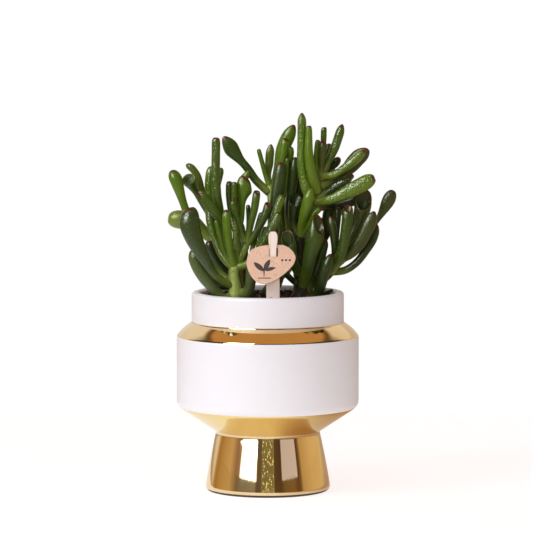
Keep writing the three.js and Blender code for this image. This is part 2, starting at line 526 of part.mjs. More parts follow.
for (const [name, rods] of Object.entries(STEMS)) {
  const joined = YOUNG_LEAVES.filter((leaf) => leaf.stem === name);
  const parts = [
    ...rods.map((rod) => shoot(rod, STEM_SIDES)),
    ...joined.map((leaf) => shoot(leaf, LEAF_SIDES)),
  ];
  const grown = wasm.Manifold.union(parts).simplify(SLIVER);
  addPiece(plant, name, clearOf(grown, clearances), STEM);
  const roomier = [
    ...rods.map((rod) => shoot(rod, STEM_SIDES, GAP)),
    ...joined.map((leaf) => shoot(leaf, LEAF_SIDES, GAP)),
  ];
  clearances.push(wasm.Manifold.union(roomier));
}

for (const leaf of LEAVES) {
  addPiece(plant, leaf.name, clearOf(shoot(leaf, LEAF_SIDES), clearances), LEAF);
  clearances.push(shoot(leaf, LEAF_SIDES, GAP));
}

// The soil fills the pot up to just under its rim, and is bored by all that stands in it.

const soilTop = COLLAR_RADIUS - WALL - SOIL_CLEARANCE;
const soilProfile = [
  ...potInside(SOIL_CLEARANCE).reverse(),
  new THREE.Vector2(soilTop, SOIL_HEIGHT - SOIL_EDGE_DROP),
  new THREE.Vector2(soilTop - SOIL_EDGE_WIDTH, SOIL_HEIGHT),
  new THREE.Vector2(0, SOIL_HEIGHT),
];
const soil = solidOf(turned(soilProfile, SOIL_SEGMENTS));
addPiece(pot, 'soil', clearOf(soil, [...clearances, stickClearance]), SOIL);

const pottedPlant = new THREE.Group();
pottedPlant.add(pot, tag, plant);

export default pottedPlant;
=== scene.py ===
# %% [markdown]
# # A potted hobbit jade, rebuilt step by step
#
# The real thing is a young succulent with tubular, cup-tipped leaves. It stands in a white glazed
# planter with gold lustre on its foot, cone and shoulder, and a small wooden tag is stuck in its soil.
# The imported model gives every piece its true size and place. This lesson gives each one its finish.

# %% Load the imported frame
import math
from functools import reduce

import bmesh
import bpy
import numpy as np
from mathutils import Matrix, Vector


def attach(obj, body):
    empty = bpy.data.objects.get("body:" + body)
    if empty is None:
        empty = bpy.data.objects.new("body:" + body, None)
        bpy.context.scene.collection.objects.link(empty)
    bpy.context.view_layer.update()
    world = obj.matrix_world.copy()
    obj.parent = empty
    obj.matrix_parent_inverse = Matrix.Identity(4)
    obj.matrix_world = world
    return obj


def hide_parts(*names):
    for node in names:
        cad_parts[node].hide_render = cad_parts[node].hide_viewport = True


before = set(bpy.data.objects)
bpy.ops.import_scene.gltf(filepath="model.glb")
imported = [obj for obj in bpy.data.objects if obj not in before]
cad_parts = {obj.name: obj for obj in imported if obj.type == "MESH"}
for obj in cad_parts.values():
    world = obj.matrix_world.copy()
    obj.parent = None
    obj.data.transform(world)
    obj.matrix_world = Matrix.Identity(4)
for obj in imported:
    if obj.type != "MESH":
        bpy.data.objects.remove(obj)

MM = 0.001
WHOLE_TURN = 2 * math.pi
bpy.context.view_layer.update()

# %% [markdown]
# ## Small helpers
#
# Node trees are easier to read when a formula is written as calls. `Wires` adds a node, feeds its
# sockets with numbers or with other sockets, and hands back what it puts out. The same class serves
# the materials and the Geometry Nodes trees, because both are node trees.

# %% A helper that wires node trees
class Wires:
    """Adds nodes to a tree. What is fed to a socket is a plain value or another node's output."""

    def __init__(self, tree):
        self.tree = tree

    def node(self, kind, feeds=None, **settings):
        node = self.tree.nodes.new(kind)
        for name, value in settings.items():
            setattr(node, name, value)
        for socket, value in (feeds or {}).items():
            self.feed(node.inputs[socket], value)
        return node

    def feed(self, socket, value):
        if isinstance(value, bpy.types.NodeSocket):
            self.tree.links.new(value, socket)
        else:
            socket.default_value = value

    def math(self, operation, *values):
        return self.node("ShaderNodeMath", dict(enumerate(values)), operation=operation).outputs[0]

    def plus(self, *values):
        return reduce(lambda first, second: self.math("ADD", first, second), values)

    def minus(self, first, second):
        return self.math("SUBTRACT", first, second)

    def times(self, *values):
        return reduce(lambda first, second: self.math("MULTIPLY", first, second), values)

    def times_plus(self, value, factor, extra):
        """value times factor, plus extra"""
        return self.math("MULTIPLY_ADD", value, factor, extra)

    def over(self, value, divisor):
        return self.math("DIVIDE", value, divisor)

    def vector(self, operation, *values):
        node = self.node("ShaderNodeVectorMath", dict(enumerate(values)), operation=operation)
        return node.outputs["Value" if operation in ("DOT_PRODUCT", "LENGTH") else "Vector"]

    def scaled(self, vector, factor):
        return self.node("ShaderNodeVectorMath", {"Vector": vector, "Scale": factor},
                         operation="SCALE").outputs["Vector"]

    def split(self, vector):
        return self.node("ShaderNodeSeparateXYZ", {0: vector}).outputs

    def smooth(self, value, low, high, start=0.0, end=1.0):
        """An eased step: start where the value is at or below low, end where it is at or above high."""
        feeds = {"Value": value, "From Min": low, "From Max": high, "To Min": start, "To Max": end}
        return self.node("ShaderNodeMapRange", feeds, interpolation_type="SMOOTHSTEP").outputs[0]

    def mix(self, factor, first, second, blend="MIX"):
        return self.node("ShaderNodeMix", {0: factor, 6: first, 7: second}, data_type="RGBA",
                         blend_type=blend, clamp_factor=True).outputs[2]

    def place(self):
        return self.node("ShaderNodeTexCoord").outputs["Object"]

    def noise(self, scale, detail=3.0, stretch=(1, 1, 1)):
        place = self.vector("MULTIPLY", self.place(), stretch)
        return self.node("ShaderNodeTexNoise", {"Vector": place, "Scale": scale, "Detail": detail,
                                                "Roughness": 0.55}).outputs[0]

    def attribute(self, name, output="Fac"):
        return self.node("ShaderNodeAttribute", attribute_name=name).outputs[output]


def linear(red, green, blue):
    """A colour given as 0-255 display values, as the shader's linear RGBA."""
    shares = [value / 255 for value in (red, green, blue)]
    return tuple(s / 12.92 if s <= 0.04045 else ((s + 0.055) / 1.055) ** 2.4 for s in shares) + (1.0,)


def put(name, data):
    """Makes an object of a mesh, lamp or camera and stands it in the scene."""
    thing = bpy.data.objects.new(name, data)
    bpy.context.scene.collection.objects.link(thing)
    return thing


def aim(thing, place, target):
    thing.location = place
    thing.rotation_euler = (Vector(target) - Vector(place)).to_track_quat("-Z", "Y").to_euler()


print("helpers ready")

# %% [markdown]
# ## The camera
#
# It stands 2.6 m in front of the pot, a little above the plant, and looks slightly down on it. The
# long lens keeps the pot's sides parallel. It is made first, because every look is judged from it.

# %% Camera
EYE_DISTANCE, EYE_HEIGHT = 2600, 378  # in millimetres
camera = put("Camera", bpy.data.cameras.new("Camera"))
camera.data.sensor_width = 36
camera.data.lens = 250.9
camera.data.clip_end = 50
aim(camera, (0.0, -EYE_DISTANCE * MM, EYE_HEIGHT * MM), (-0.0009, 0.0, 0.158))
bpy.context.scene.camera = camera
bpy.context.scene.view_settings.view_transform = "Standard"
print("camera lens", camera.data.lens, "mm")

# %% [markdown]
# ## Studio light
#
# The plant stands on a round white table before a white background. What a mirror-bright gold foot
# shows is its surroundings, so for mirrors the world holds a ring of studio panels with dark gaps
# between them, placed by compass angle. All else gets a soft light from a wide window at the front
# left. A softbox beside the window gives the wax its white streaks, and three weak fills stay unseen.

# %% World: what the mirror-bright gold sees
PANELS = [  # compass angle from the front in degrees, positive to the right, and its light
    (-180, 0.86, 0.80, 0.74), (-128, 0.86, 0.76, 0.62), (-123, 0.60, 0.37, 0.16), (-116, 0.45, 0.25, 0.08),
    (-106, 0.56, 0.34, 0.13), (-80, 0.70, 0.48, 0.24), (-66, 0.36, 0.22, 0.13), (-57, 0.40, 0.27, 0.18),
    (-54, 3.0, 3.0, 3.1), (-23, 3.0, 3.0, 3.1), (-22, 0.15, 0.11, 0.08), (-12.6, 0.17, 0.12, 0.08),
    (-12, 0.52, 0.46, 0.22), (11.4, 0.54, 0.47, 0.23), (12, 0.13, 0.08, 0.04), (27, 0.10, 0.055, 0.03),
    (28, 0.69, 0.63, 0.76), (59, 0.73, 0.67, 0.80), (60, 0.10, 0.05, 0.02), (66, 0.22, 0.12, 0.05),
    (71, 0.60, 0.40, 0.18), (95, 0.78, 0.56, 0.27), (143, 0.84, 0.62, 0.34), (147, 0.68, 0.56, 0.44),
    (180, 0.70, 0.58, 0.46),
]
LOW_BAND = [  # the same turn round the studio, below the panels' lower edges
    (-180, 0.86, 0.80, 0.74), (-128, 0.86, 0.76, 0.62), (-123, 0.58, 0.36, 0.15), (-116, 0.44, 0.24, 0.08),
    (-106, 0.54, 0.33, 0.12), (-78, 0.64, 0.43, 0.19), (-62, 0.24, 0.17, 0.10), (-52, 0.27, 0.24, 0.19),
    (-25, 0.30, 0.27, 0.20), (-22, 0.13, 0.10, 0.07), (-12.6, 0.17, 0.12, 0.08), (-12, 0.52, 0.46, 0.22),
    (11.4, 0.54, 0.47, 0.23), (12, 0.13, 0.08, 0.04), (26, 0.12, 0.07, 0.03), (34, 0.22, 0.13, 0.05),
    (50, 0.26, 0.15, 0.06), (60, 0.16, 0.08, 0.03), (66, 0.22, 0.12, 0.05), (71, 0.58, 0.39, 0.17),
    (95, 0.74, 0.53, 0.25), (143, 0.80, 0.60, 0.32), (147, 0.68, 0.56, 0.44), (180, 0.70, 0.58, 0.46),
]
HIGH_BAND = [  # and above the panels: a dark room in front, the pale sweep behind
    (-180, 0.86, 0.80, 0.74), (-132, 0.92, 0.84, 0.74), (-112, 0.07, 0.06, 0.05), (-56, 0.06, 0.05, 0.05),
    (-54, 3.4, 3.4, 3.5), (-23, 3.4, 3.4, 3.5), (-21, 0.05, 0.05, 0.05), (112, 0.06, 0.05, 0.04),
    (132, 0.88, 0.76, 0.62), (180, 0.92, 0.84, 0.74),
]
PANEL_EDGE = 0.2  # sine of the height angle at which the panels begin
EDGE_BLUR, EDGE_DIP, EDGE_RAGGED = 0.0005, 0.25, 0.01
CEILING, CORNICE = (0.58, 0.31, 0.11, 1), (0.20, 0.10, 0.04, 1)
TABLE_FAR, TABLE_FAR_SOFT = (0.52, 0.41, 0.31, 1), (0.23, 0.135, 0.11, 1)
TALL_WINDOW = (13.0, 13.0, 13.4, 1)

world = bpy.data.worlds.new("Studio")
bpy.context.scene.world = world
world.use_nodes = True
world.node_tree.nodes.clear()
studio = Wires(world.node_tree)
heading = studio.node("ShaderNodeTexCoord").outputs["Generated"]
direction = studio.split(heading)
rise = direction[2]
compass = studio.math("ARCTAN2", direction[0], studio.times(direction[1], -1.0))
share = studio.times_plus(compass, 1 / WHOLE_TURN, 0.5)


def band(stops):
    """A colour ramp laid round the horizon, from behind on the left to behind on the right."""
    ramp = studio.node("ShaderNodeValToRGB", {0: share})
    points = ramp.color_ramp.elements
    points[0].color = (*stops[0][1:], 1)
    points[1].color = (*stops[-1][1:], 1)
    for angle, *light in stops[1:-1]:
        points.new(angle / 360 + 0.5).color = (*light, 1)
    return ramp.outputs[0]


ragged = studio.node("ShaderNodeTexNoise", {"Vector": heading, "Scale": 34.0, "Detail": 4.0}).outputs[0]
dip = studio.math("COSINE", studio.times(compass, 0.5))  # a round foot sees the panels' edge dip
edge = studio.times_plus(studio.minus(1.0, dip), EDGE_DIP, rise)
edge = studio.times_plus(ragged, EDGE_RAGGED, edge)
edge_height = PANEL_EDGE + EDGE_RAGGED / 2
above = studio.smooth(edge, edge_height - EDGE_BLUR, edge_height + EDGE_BLUR)
panels = studio.mix(above, band(LOW_BAND), band(PANELS))

# The strip right of the white panel glitters: small bright cells, tall ones in a mirror this low.
stretched = studio.vector("MULTIPLY", heading, (1.0, 1.0, 12.0))
cells = studio.node("ShaderNodeTexVoronoi", {"Vector": stretched, "Scale": 14.0}).outputs[0]
glitter = studio.smooth(cells, 0.14, 0.36, 4.2, 0.45)
in_strip = studio.math("COMPARE", compass, -0.005, 0.2)
panels = studio.mix(in_strip, panels, studio.scaled(panels, glitter))
panels = studio.mix(studio.smooth(rise, 0.30, 0.38), panels, band(HIGH_BAND))
mirrored = studio.mix(studio.smooth(rise, 0.64, 0.72), panels, CORNICE)
mirrored = studio.mix(studio.smooth(rise, 0.72, 0.78), mirrored, CEILING)
mirrored = studio.mix(studio.smooth(rise, -0.02, 0.02), TABLE_FAR, mirrored)

# Higher up than the foot can see, a tall window gives the wax of the leaves its white streaks.
in_window = studio.times(studio.math("COMPARE", compass, -0.74, 0.35), studio.smooth(rise, 0.24, 0.27),
                         studio.smooth(rise, 0.78, 0.84, 1.0, 0.0))
mirrored = studio.mix(in_window, mirrored, TALL_WINDOW)
print(len(PANELS), "stops round the panels")

# %% World: the soft light that everything else gets
# A wide window at the front left, a dim warm room behind it, and white only where the camera looks.
WINDOW = (-0.57, -0.76, 0.31)  # the way to the window
WINDOW_LIGHT, ROOM_LIGHT = (0.99, 0.99, 1.14, 1), (0.11, 0.03, 0.012, 1)
window_share = studio.vector("DOT_PRODUCT", heading, WINDOW)
soft = studio.mix(studio.smooth(window_share, -0.3, 1.0), ROOM_LIGHT, WINDOW_LIGHT)
soft = studio.mix(studio.smooth(rise, -0.05, 0.05), TABLE_FAR_SOFT, soft)
rays = studio.node("ShaderNodeLightPath").outputs
light = studio.mix(rays["Is Glossy Ray"], soft, mirrored)
light = studio.mix(rays["Is Camera Ray"], light, (1.0, 1.0, 1.0, 1.0))
backdrop = studio.node("ShaderNodeBackground", {0: light, 1: 1.0})
studio.node("ShaderNodeOutputWorld", {0: backdrop.outputs[0]})
print("soft light from", WINDOW_LIGHT[:3], "to", ROOM_LIGHT[:3])

# %% Area lights
# Only the key softbox is seen in the gold and the wax. The three fills stay out of every mirror.
PLANT_CENTRE = (0, 0, 0.19)
SOFTBOXES = [  # name, place, width and height in metres, watts and colour
    ("Key softbox", (-0.95, -0.75, 0.95), 0.24, 0.36, 4.2, (1.0, 0.99, 1.0)),
    ("Front fill", (-0.25, -1.9, 0.75), 0.5, 0.35, 3.7, (0.97, 0.99, 1.04)),
    ("Right fill", (1.1, -0.4, 0.6), 0.4, 0.7, 0.44, (1.0, 0.64, 0.48)),
    ("Back fill", (0.3, 1.8, 0.9), 0.5, 0.5, 2.6, (1.0, 0.98, 0.95)),
]
for name, place, width, height, power, colour in SOFTBOXES:
    lamp = bpy.data.lights.new(name, "AREA")
    lamp.shape = "RECTANGLE"
    lamp.size = width
    lamp.size_y = height
    lamp.energy = power
    lamp.color = colour
    holder = put(name, lamp)
    aim(holder, place, PLANT_CENTRE)
    holder.visible_glossy = name.startswith("Key")
print(len(SOFTBOXES), "softboxes")

# %% Floor
# The table glows a little, so that it stays white. Mirrors see its far right in a painted warm shadow, where
# the pot's shadow would lie.
FLOOR_R, FLOOR_SIDES = 0.45, 96
TABLE_WHITE, TABLE_PAINTED_SHADOW = (1, 0.96, 0.94, 1), (0.42, 0.22, 0.08, 1)
floor_mesh = bpy.data.meshes.new("Pale round table")
table_edge = [(FLOOR_R * math.cos(a), FLOOR_R * math.sin(a), 0)
              for a in np.linspace(0, WHOLE_TURN, FLOOR_SIDES + 1)[:-1]]
floor_mesh.from_pydata(table_edge, [], [range(FLOOR_SIDES)])
floor = put("Pale round table", floor_mesh)
paint = bpy.data.materials.new("Pale table")
paint.use_nodes = True
matt = paint.node_tree.nodes["Principled BSDF"].inputs
matt["Base Color"].default_value = (0.25, 0.25, 0.25, 1)
matt["Roughness"].default_value = 0.9
matt["Emission Strength"].default_value = 0.85
w = Wires(paint.node_tree)
in_mirrors = w.node("ShaderNodeLightPath").outputs["Is Glossy Ray"]
# Painted shadow: only glossy rays see the table's right side dark and warm.
mirror_shadow = w.times(w.smooth(w.split(w.place())[0], 0.0, 0.09), in_mirrors)
w.feed(matt["Emission Color"], w.mix(mirror_shadow, TABLE_WHITE, TABLE_PAINTED_SHADOW))
floor_mesh.materials.append(paint)
print("round table", 2 * FLOOR_R, "m across")

# %% [markdown]
# ## Materials with life in them
#
# A glaze, a lustre or a leaf skin is never one flat colour. Each material here starts from a plain
# Principled shader and gets slow colour drift, fine surface relief and uneven gloss from noise on
# Object coordinates, so the pattern stays with the piece when it is seen from another side.

# %% A starter and a finish for every material
def new_material(name, **fixed):
    """A material, its wires and its shader's inputs. fixed: values that nothing is wired to."""
    material = bpy.data.materials.new(name)
    material.use_nodes = True
    inputs = material.node_tree.nodes["Principled BSDF"].inputs
    for socket, value in fixed.items():
        inputs[socket.replace("_", " ")].default_value = value
    return material, Wires(material.node_tree), inputs


def finish(w, inputs, colour, roughness=None, height=None, depth=0.001, strength=1.0, coat=False):
    """Wires a colour, an uneven gloss and a relief (depth in metres) to a shader's inputs."""
    w.feed(inputs["Base Color"], colour)
    if roughness is not None:
        w.feed(inputs["Roughness"], roughness)
    if height is not None:
        bump = w.node("ShaderNodeBump", {"Height": height, "Distance": depth, "Strength": strength})
        w.feed(inputs["Normal"], bump.outputs[0])
        if coat:
            w.feed(inputs["Coat Normal"], bump.outputs[0])


def plain(name, roughness, first, second, *pattern):
    """A matt material whose colour wanders between two display colours in a noise pattern."""
    material, w, inputs = new_material(name, Roughness=roughness)
    finish(w, inputs, w.mix(w.noise(*pattern), linear(*first), linear(*second)))
    return material


print("material helpers ready")

# %% [markdown]
# ## The planter
#
# It was slip-cast in one piece and glazed white, and then a gold lustre was painted on its shoulder,
# its cone and its foot before a last firing. A lathe is the natural way: one profile, turned once.
# Arcs in the profile give the soft edges that catch the light, and each face takes glaze, gold or bare
# clay by its place along the profile, so they meet on crisp rings.

# %% Planter profile, in millimetres
FOOT_R, FOOT_CONTACT_R, NECK_R, NECK_Z = 44, 41, 36.6, 41.8
CONE_TOP, BODY_R, BODY_LOW, BODY_HIGH = (58.5, 56.5), 64, 63, 109
COLLAR_R, COLLAR_LOW, RIM_Z, WALL = 53.5, 118.6, 140.4, 6
INNER_R = COLLAR_R - WALL
POT_TURNS, SOIL_TURNS = 144, 120


def eased(start, corner, end, steps):
    """Points of a quadratic curve that rounds a corner."""
    start, corner, end = (np.array(point, float) for point in (start, corner, end))
    return [tuple((1 - t) ** 2 * start + 2 * t * (1 - t) * corner + t * t * end)
            for t in np.linspace(0, 1, steps)]


def straight(start, end, steps):
    start, end = np.array(start, float), np.array(end, float)
    return [tuple(start + (end - start) * t) for t in np.linspace(0, 1, steps)]


def bulged(start, end, steps, swell):
    """A straight stretch that swells outward a little, as a slip-cast wall does."""
    return [(radius + 4 * swell * t * (1 - t), height)
            for (radius, height), t in zip(straight(start, end, steps), np.linspace(0, 1, steps))]


CLAY_AND_SHADE, GOLD, GLAZE = 0, 1, 2
POT_BANDS = [  # from the foot's underside, up the outside, over the rim and down the inside
    (CLAY_AND_SHADE, [(0, 0), (20, 0), (FOOT_CONTACT_R - 1, 0)]),
    # The bare clay reaches up the foot's lower edge, and there its dark colour is a painted contact shadow.
    (CLAY_AND_SHADE, eased((FOOT_CONTACT_R - 1, 0), (FOOT_CONTACT_R + 1.2, 0), (FOOT_R - 1.1, 1.1), 5)),
    (CLAY_AND_SHADE, eased((FOOT_R - 1.1, 1.1), (FOOT_R - 0.65, 1.41), (FOOT_R - 0.39, 1.91), 4)),
    (GOLD, eased((FOOT_R - 0.39, 1.91), (FOOT_R + 0.08, 2.84), (FOOT_R - 0.15, 4.4), 5)),
    (GOLD, bulged((FOOT_R - 0.15, 4.4), (NECK_R + 0.25, NECK_Z - 1.4), 24, 0.3)),
    (GOLD, eased((NECK_R + 0.25, NECK_Z - 1.4), (NECK_R, NECK_Z), (NECK_R + 1.1, NECK_Z + 0.9), 7)),
    (GOLD, straight((NECK_R + 1.1, NECK_Z + 0.9), CONE_TOP, 10)),
    (GOLD, eased(CONE_TOP, (60.6, 57.9), (62, 59.3), 6)),
    (GLAZE, eased((62, 59.3), (BODY_R, 61), (BODY_R, 64.5), 9)),
    (GLAZE, straight((BODY_R, 64.5), (BODY_R, BODY_HIGH - 1.5), 14)),
    (GLAZE, eased((BODY_R, BODY_HIGH - 1.5), (BODY_R, BODY_HIGH - 0.45),
                  (BODY_R - 0.28, BODY_HIGH + 0.35), 5)),
    (GOLD, eased((BODY_R - 0.28, BODY_HIGH + 0.35), (BODY_R - 0.55, BODY_HIGH + 1.15),
                 (BODY_R - 1.1, BODY_HIGH + 1.7), 5)),
    (GOLD, eased((BODY_R - 1.1, BODY_HIGH + 1.7), (59.3, 115.2), (COLLAR_R + 0.5, COLLAR_LOW - 0.1), 14)),
    (GOLD, eased((COLLAR_R + 0.5, COLLAR_LOW - 0.1), (COLLAR_R, COLLAR_LOW + 0.1),
                 (COLLAR_R, COLLAR_LOW + 0.9), 5)),
    (GLAZE, straight((COLLAR_R, COLLAR_LOW + 0.9), (COLLAR_R, RIM_Z - 2.6), 8)),
    (GLAZE, eased((COLLAR_R, RIM_Z - 2.6), (COLLAR_R, RIM_Z), (COLLAR_R - 2.6, RIM_Z), 10)),
    (GLAZE, eased((INNER_R + 2.4, RIM_Z), (INNER_R, RIM_Z), (INNER_R, RIM_Z - 2.4), 9)),
    (GLAZE, straight((INNER_R, RIM_Z - 2.4), (INNER_R, 131), 4)),
    (CLAY_AND_SHADE, straight((INNER_R, 131), (INNER_R, COLLAR_LOW - 4), 3)),
    (CLAY_AND_SHADE, [(BODY_R - WALL, BODY_HIGH - 4), (BODY_R - WALL, BODY_LOW + 4), (NECK_R - WALL, NECK_Z + 6),
            (NECK_R - WALL, NECK_Z), (FOOT_R - WALL, WALL), (0, WALL)]),
]


def as_mesh(body, name, materials=()):
    """Turns a finished bmesh into a mesh with its materials."""
    mesh = bpy.data.meshes.new(name)
    body.to_mesh(mesh)
    body.free()
    for material in materials:
        mesh.materials.append(material)
    return mesh


def turned(name, bands, turns):
    """A closed solid of revolution. Each band's faces take the band's own material slot."""
    points, slots = [], []
    for slot, band in bands:
        for point in band:
            if not points or math.dist(points[-1], point) >= 1e-6:
                points.append(point)
                slots.append(slot)
    body = bmesh.new()
    rings = []
    for radius, height in points:
        angles = [WHOLE_TURN * i / turns for i in range(turns if radius else 1)]
        rings.append([body.verts.new((radius * MM * math.cos(a), radius * MM * math.sin(a), height * MM))
                      for a in angles])
    for low, high, slot in zip(rings, rings[1:], slots[1:]):
        for i in range(turns):
            corners = [ring[k % len(ring)] for ring, k in ((low, i), (low, i + 1), (high, i + 1), (high, i))]
            face = body.faces.new(list(dict.fromkeys(corners)))
            face.material_index = slot
            face.smooth = True
    bmesh.ops.recalc_face_normals(body, faces=body.faces)
    return as_mesh(body, name)


def add_piece(name, mesh, slot, *nodes):
    """Puts a finished mesh in the scene, on the one body, in place of the CAD nodes it stands for."""
    piece = put(name, mesh)
    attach(piece, "root")
    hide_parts(*nodes)
    print(name, len(mesh.polygons), "faces")


pot_mesh = turned("Planter", POT_BANDS, POT_TURNS)
print("planter faces:", len(pot_mesh.polygons))

# %% Bare clay with painted contact shadow, gold lustre and white glaze
# Bare clay: partly its own unglazed colour, partly made dark as the painted contact shadow under the foot.
clay_and_painted_shade, w, inputs = new_material("Bare clay with painted contact shade", Roughness=0.85)
grit = w.noise(900, 4)
finish(w, inputs, w.mix(grit, linear(44, 33, 26), linear(76, 60, 48)), height=grit, depth=0.0001)

gold, w, inputs = new_material("Gold lustre", Metallic=1.0)
wash = w.noise(55, 4, (1, 1, 0.35))
lustre = w.mix(w.smooth(wash, 0.3, 0.7), linear(232, 209, 166), linear(227, 202, 156))
height = w.split(w.place())[2]
on_cone = w.smooth(height, 0.041, 0.046, 0.0, w.smooth(height, 0.060, 0.062, 1.0, 0.0))
lustre = w.mix(on_cone, lustre, linear(234, 211, 146))  # yellower on the cone
finish(w, inputs, lustre, w.smooth(w.noise(260, 3), 0.3, 0.8, 0.02, 0.05),
       height=w.noise(42, 2, (1, 1, 0.5)), depth=0.0006, strength=0.09)

glaze, w, inputs = new_material("White glaze", Coat_Weight=0.15, Coat_Roughness=0.15,
                                Subsurface_Weight=0.06, Subsurface_Radius=(0.004, 0.003, 0.002))
milk = w.mix(w.noise(18, 3), linear(241, 239, 237), linear(248, 247, 246))
finish(w, inputs, milk, w.smooth(w.noise(320, 3), 0.3, 0.7, 0.34, 0.46),
       height=w.noise(60, 2), depth=0.0003, strength=0.15)

for material in (clay_and_painted_shade, gold, glaze):
    pot_mesh.materials.append(material)
add_piece("glazed_planter", pot_mesh, "pot_glaze", "pot")

# %% [markdown]
# ## Paths of the shoots
#
# Every stem and leaf follows a path of a few points. Each point is x,z,depth in millimetres: where it
# is seen from the front on the plane through the pot's axis, and how far behind that plane it lies.
# `placed` moves it along the line of sight to that depth, and a centripetal spline joins the points,
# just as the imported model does, so each finished leaf fills the place of its plain CAD solid.

# %% From path points to a smooth line
SPLINE_STEPS, PATH_SAMPLES = 24, 64


def placed(point):
    x, z, depth = point
    reach = depth / EYE_DISTANCE
    return np.array([x * (1 + reach), depth, z + (z - EYE_HEIGHT) * reach]) * MM


def spline(path):
    """A centripetal Catmull-Rom line through the points, as evenly spaced samples."""
    points = [placed(point) for point in path]
    points = [2 * points[0] - points[1], *points, 2 * points[-1] - points[-2]]
    line = []
    for a, b, c, d in zip(points, points[1:], points[2:], points[3:]):
        ab, bc, cd = (math.sqrt(np.linalg.norm(q - p)) for p, q in ((a, b), (b, c), (c, d)))
        leave = bc * ((b - a) / ab - (c - a) / (ab + bc) + (c - b) / bc)
        arrive = bc * ((c - b) / bc - (d - b) / (bc + cd) + (d - c) / cd)
        for t in np.linspace(0, 1, SPLINE_STEPS, endpoint=False):
            line.append(b * (2 * t**3 - 3 * t**2 + 1) + leave * (t**3 - 2 * t**2 + t)
                        + c * (3 * t**2 - 2 * t**3) + arrive * (t**3 - t**2))
    line = np.array([*line, points[-2]])
    travelled = np.concatenate([[0], np.cumsum(np.linalg.norm(np.diff(line, axis=0), axis=1))])
    even = np.linspace(0, travelled[-1], PATH_SAMPLES)
    return np.stack([np.interp(even, travelled, line[:, axis]) for axis in range(3)], axis=1)


print("path sampler ready")

# %% [markdown]
# ## One tree that grows every shoot
#
# All leaves of this plant obey one rule. A tube follows a path, swells from its stalk to its head,
# rounds over into a rim, and dips into a cup behind the rim. Some lean their mouth, some are pressed
# flat, and some end in a point. That is a job for Geometry Nodes: the tree bends a grid round the path
# and moves each point by the rule, and the named inputs say how much. It also stores attributes that
# the skin's colours follow, such as how far along a point lies, how near the rim and how deep in the
# cup it is.

# %% Helpers for Geometry Nodes trees
def new_tree(name, inputs):
    """A tree with named inputs. Each input has its usual number, or the kind of thing it takes."""
    tree = bpy.data.node_groups.new(name, "GeometryNodeTree")
    for label, usual in inputs.items():
        kind = {int: "Int", float: "Float"}.get(type(usual), usual)
        socket = tree.interface.new_socket(label, in_out="INPUT", socket_type=f"NodeSocket{kind}")
        if kind != usual:
            socket.default_value = usual
    tree.interface.new_socket("Grown", in_out="OUTPUT", socket_type="NodeSocketGeometry")
    w = Wires(tree)
    return w, w.node("NodeGroupInput").outputs


def grown_on(mesh, tree, values):
    """What a tree makes of a mesh, as a plain mesh. values: the tree's inputs by their names."""
    host = put("host", mesh)
    modifier = host.modifiers.new("Grow", "NODES")
    modifier.node_group = tree
    sockets = {item.name: item.identifier for item in tree.interface.items_tree if item.in_out == "INPUT"}
    for name, value in values.items():
        modifier[sockets[name]] = value
    host.update_tag()
    graph = bpy.context.evaluated_depsgraph_get()
    grown = bpy.data.meshes.new_from_object(host.evaluated_get(graph), preserve_all_data_layers=True,
                                            depsgraph=graph)
    bpy.data.objects.remove(host)
    bpy.data.meshes.remove(mesh)
    return grown


print("tree helpers ready")

# %% The shoot tree
TIP_ROWS_FROM = 0.7  # the share of all rows that goes to the stalk and head
RIM_ROW = 0.62       # where the rim's crest lies within the rows that close the tip
TAPERING, FLATTENING, LEANING = (0.7, 1.05), (0.15, 0.6), (0.62, 0.9)  # from and to, as shares of a path
RED_MARGIN_ACROSS, RED_MARGIN_ALONG = (0.86, 1.0), (0.4, 0.85)
LUMPS_PER_METRE, KNUCKLE_SPACING, KNUCKLE_WIDTH = 90, 0.012, 0.13
WELD = 2e-6
SHOOT_INPUTS = {
    "Path": "Geometry", "Rings": 46, "Sides": 26, "Stalk Radius": 0.002, "Head Radius": 0.003,
    "Flatness": 1.0, "Mouth": 0.5, "Cup Depth": 0.35, "Lean": 0.3, "Turn": 0.0, "Swell From": 0.3,
    "Swell To": 0.8, "Taper": 0.0, "Tip Length": 1.3, "Point": 0.0, "Margin": 0.15, "Speckle": 0.2,
    "Unevenness": 0.12, "Knuckle": 0.0, "Blush": 1.2, "Seed": 0.0, "Skin": "Color", "Material": "Material",
}


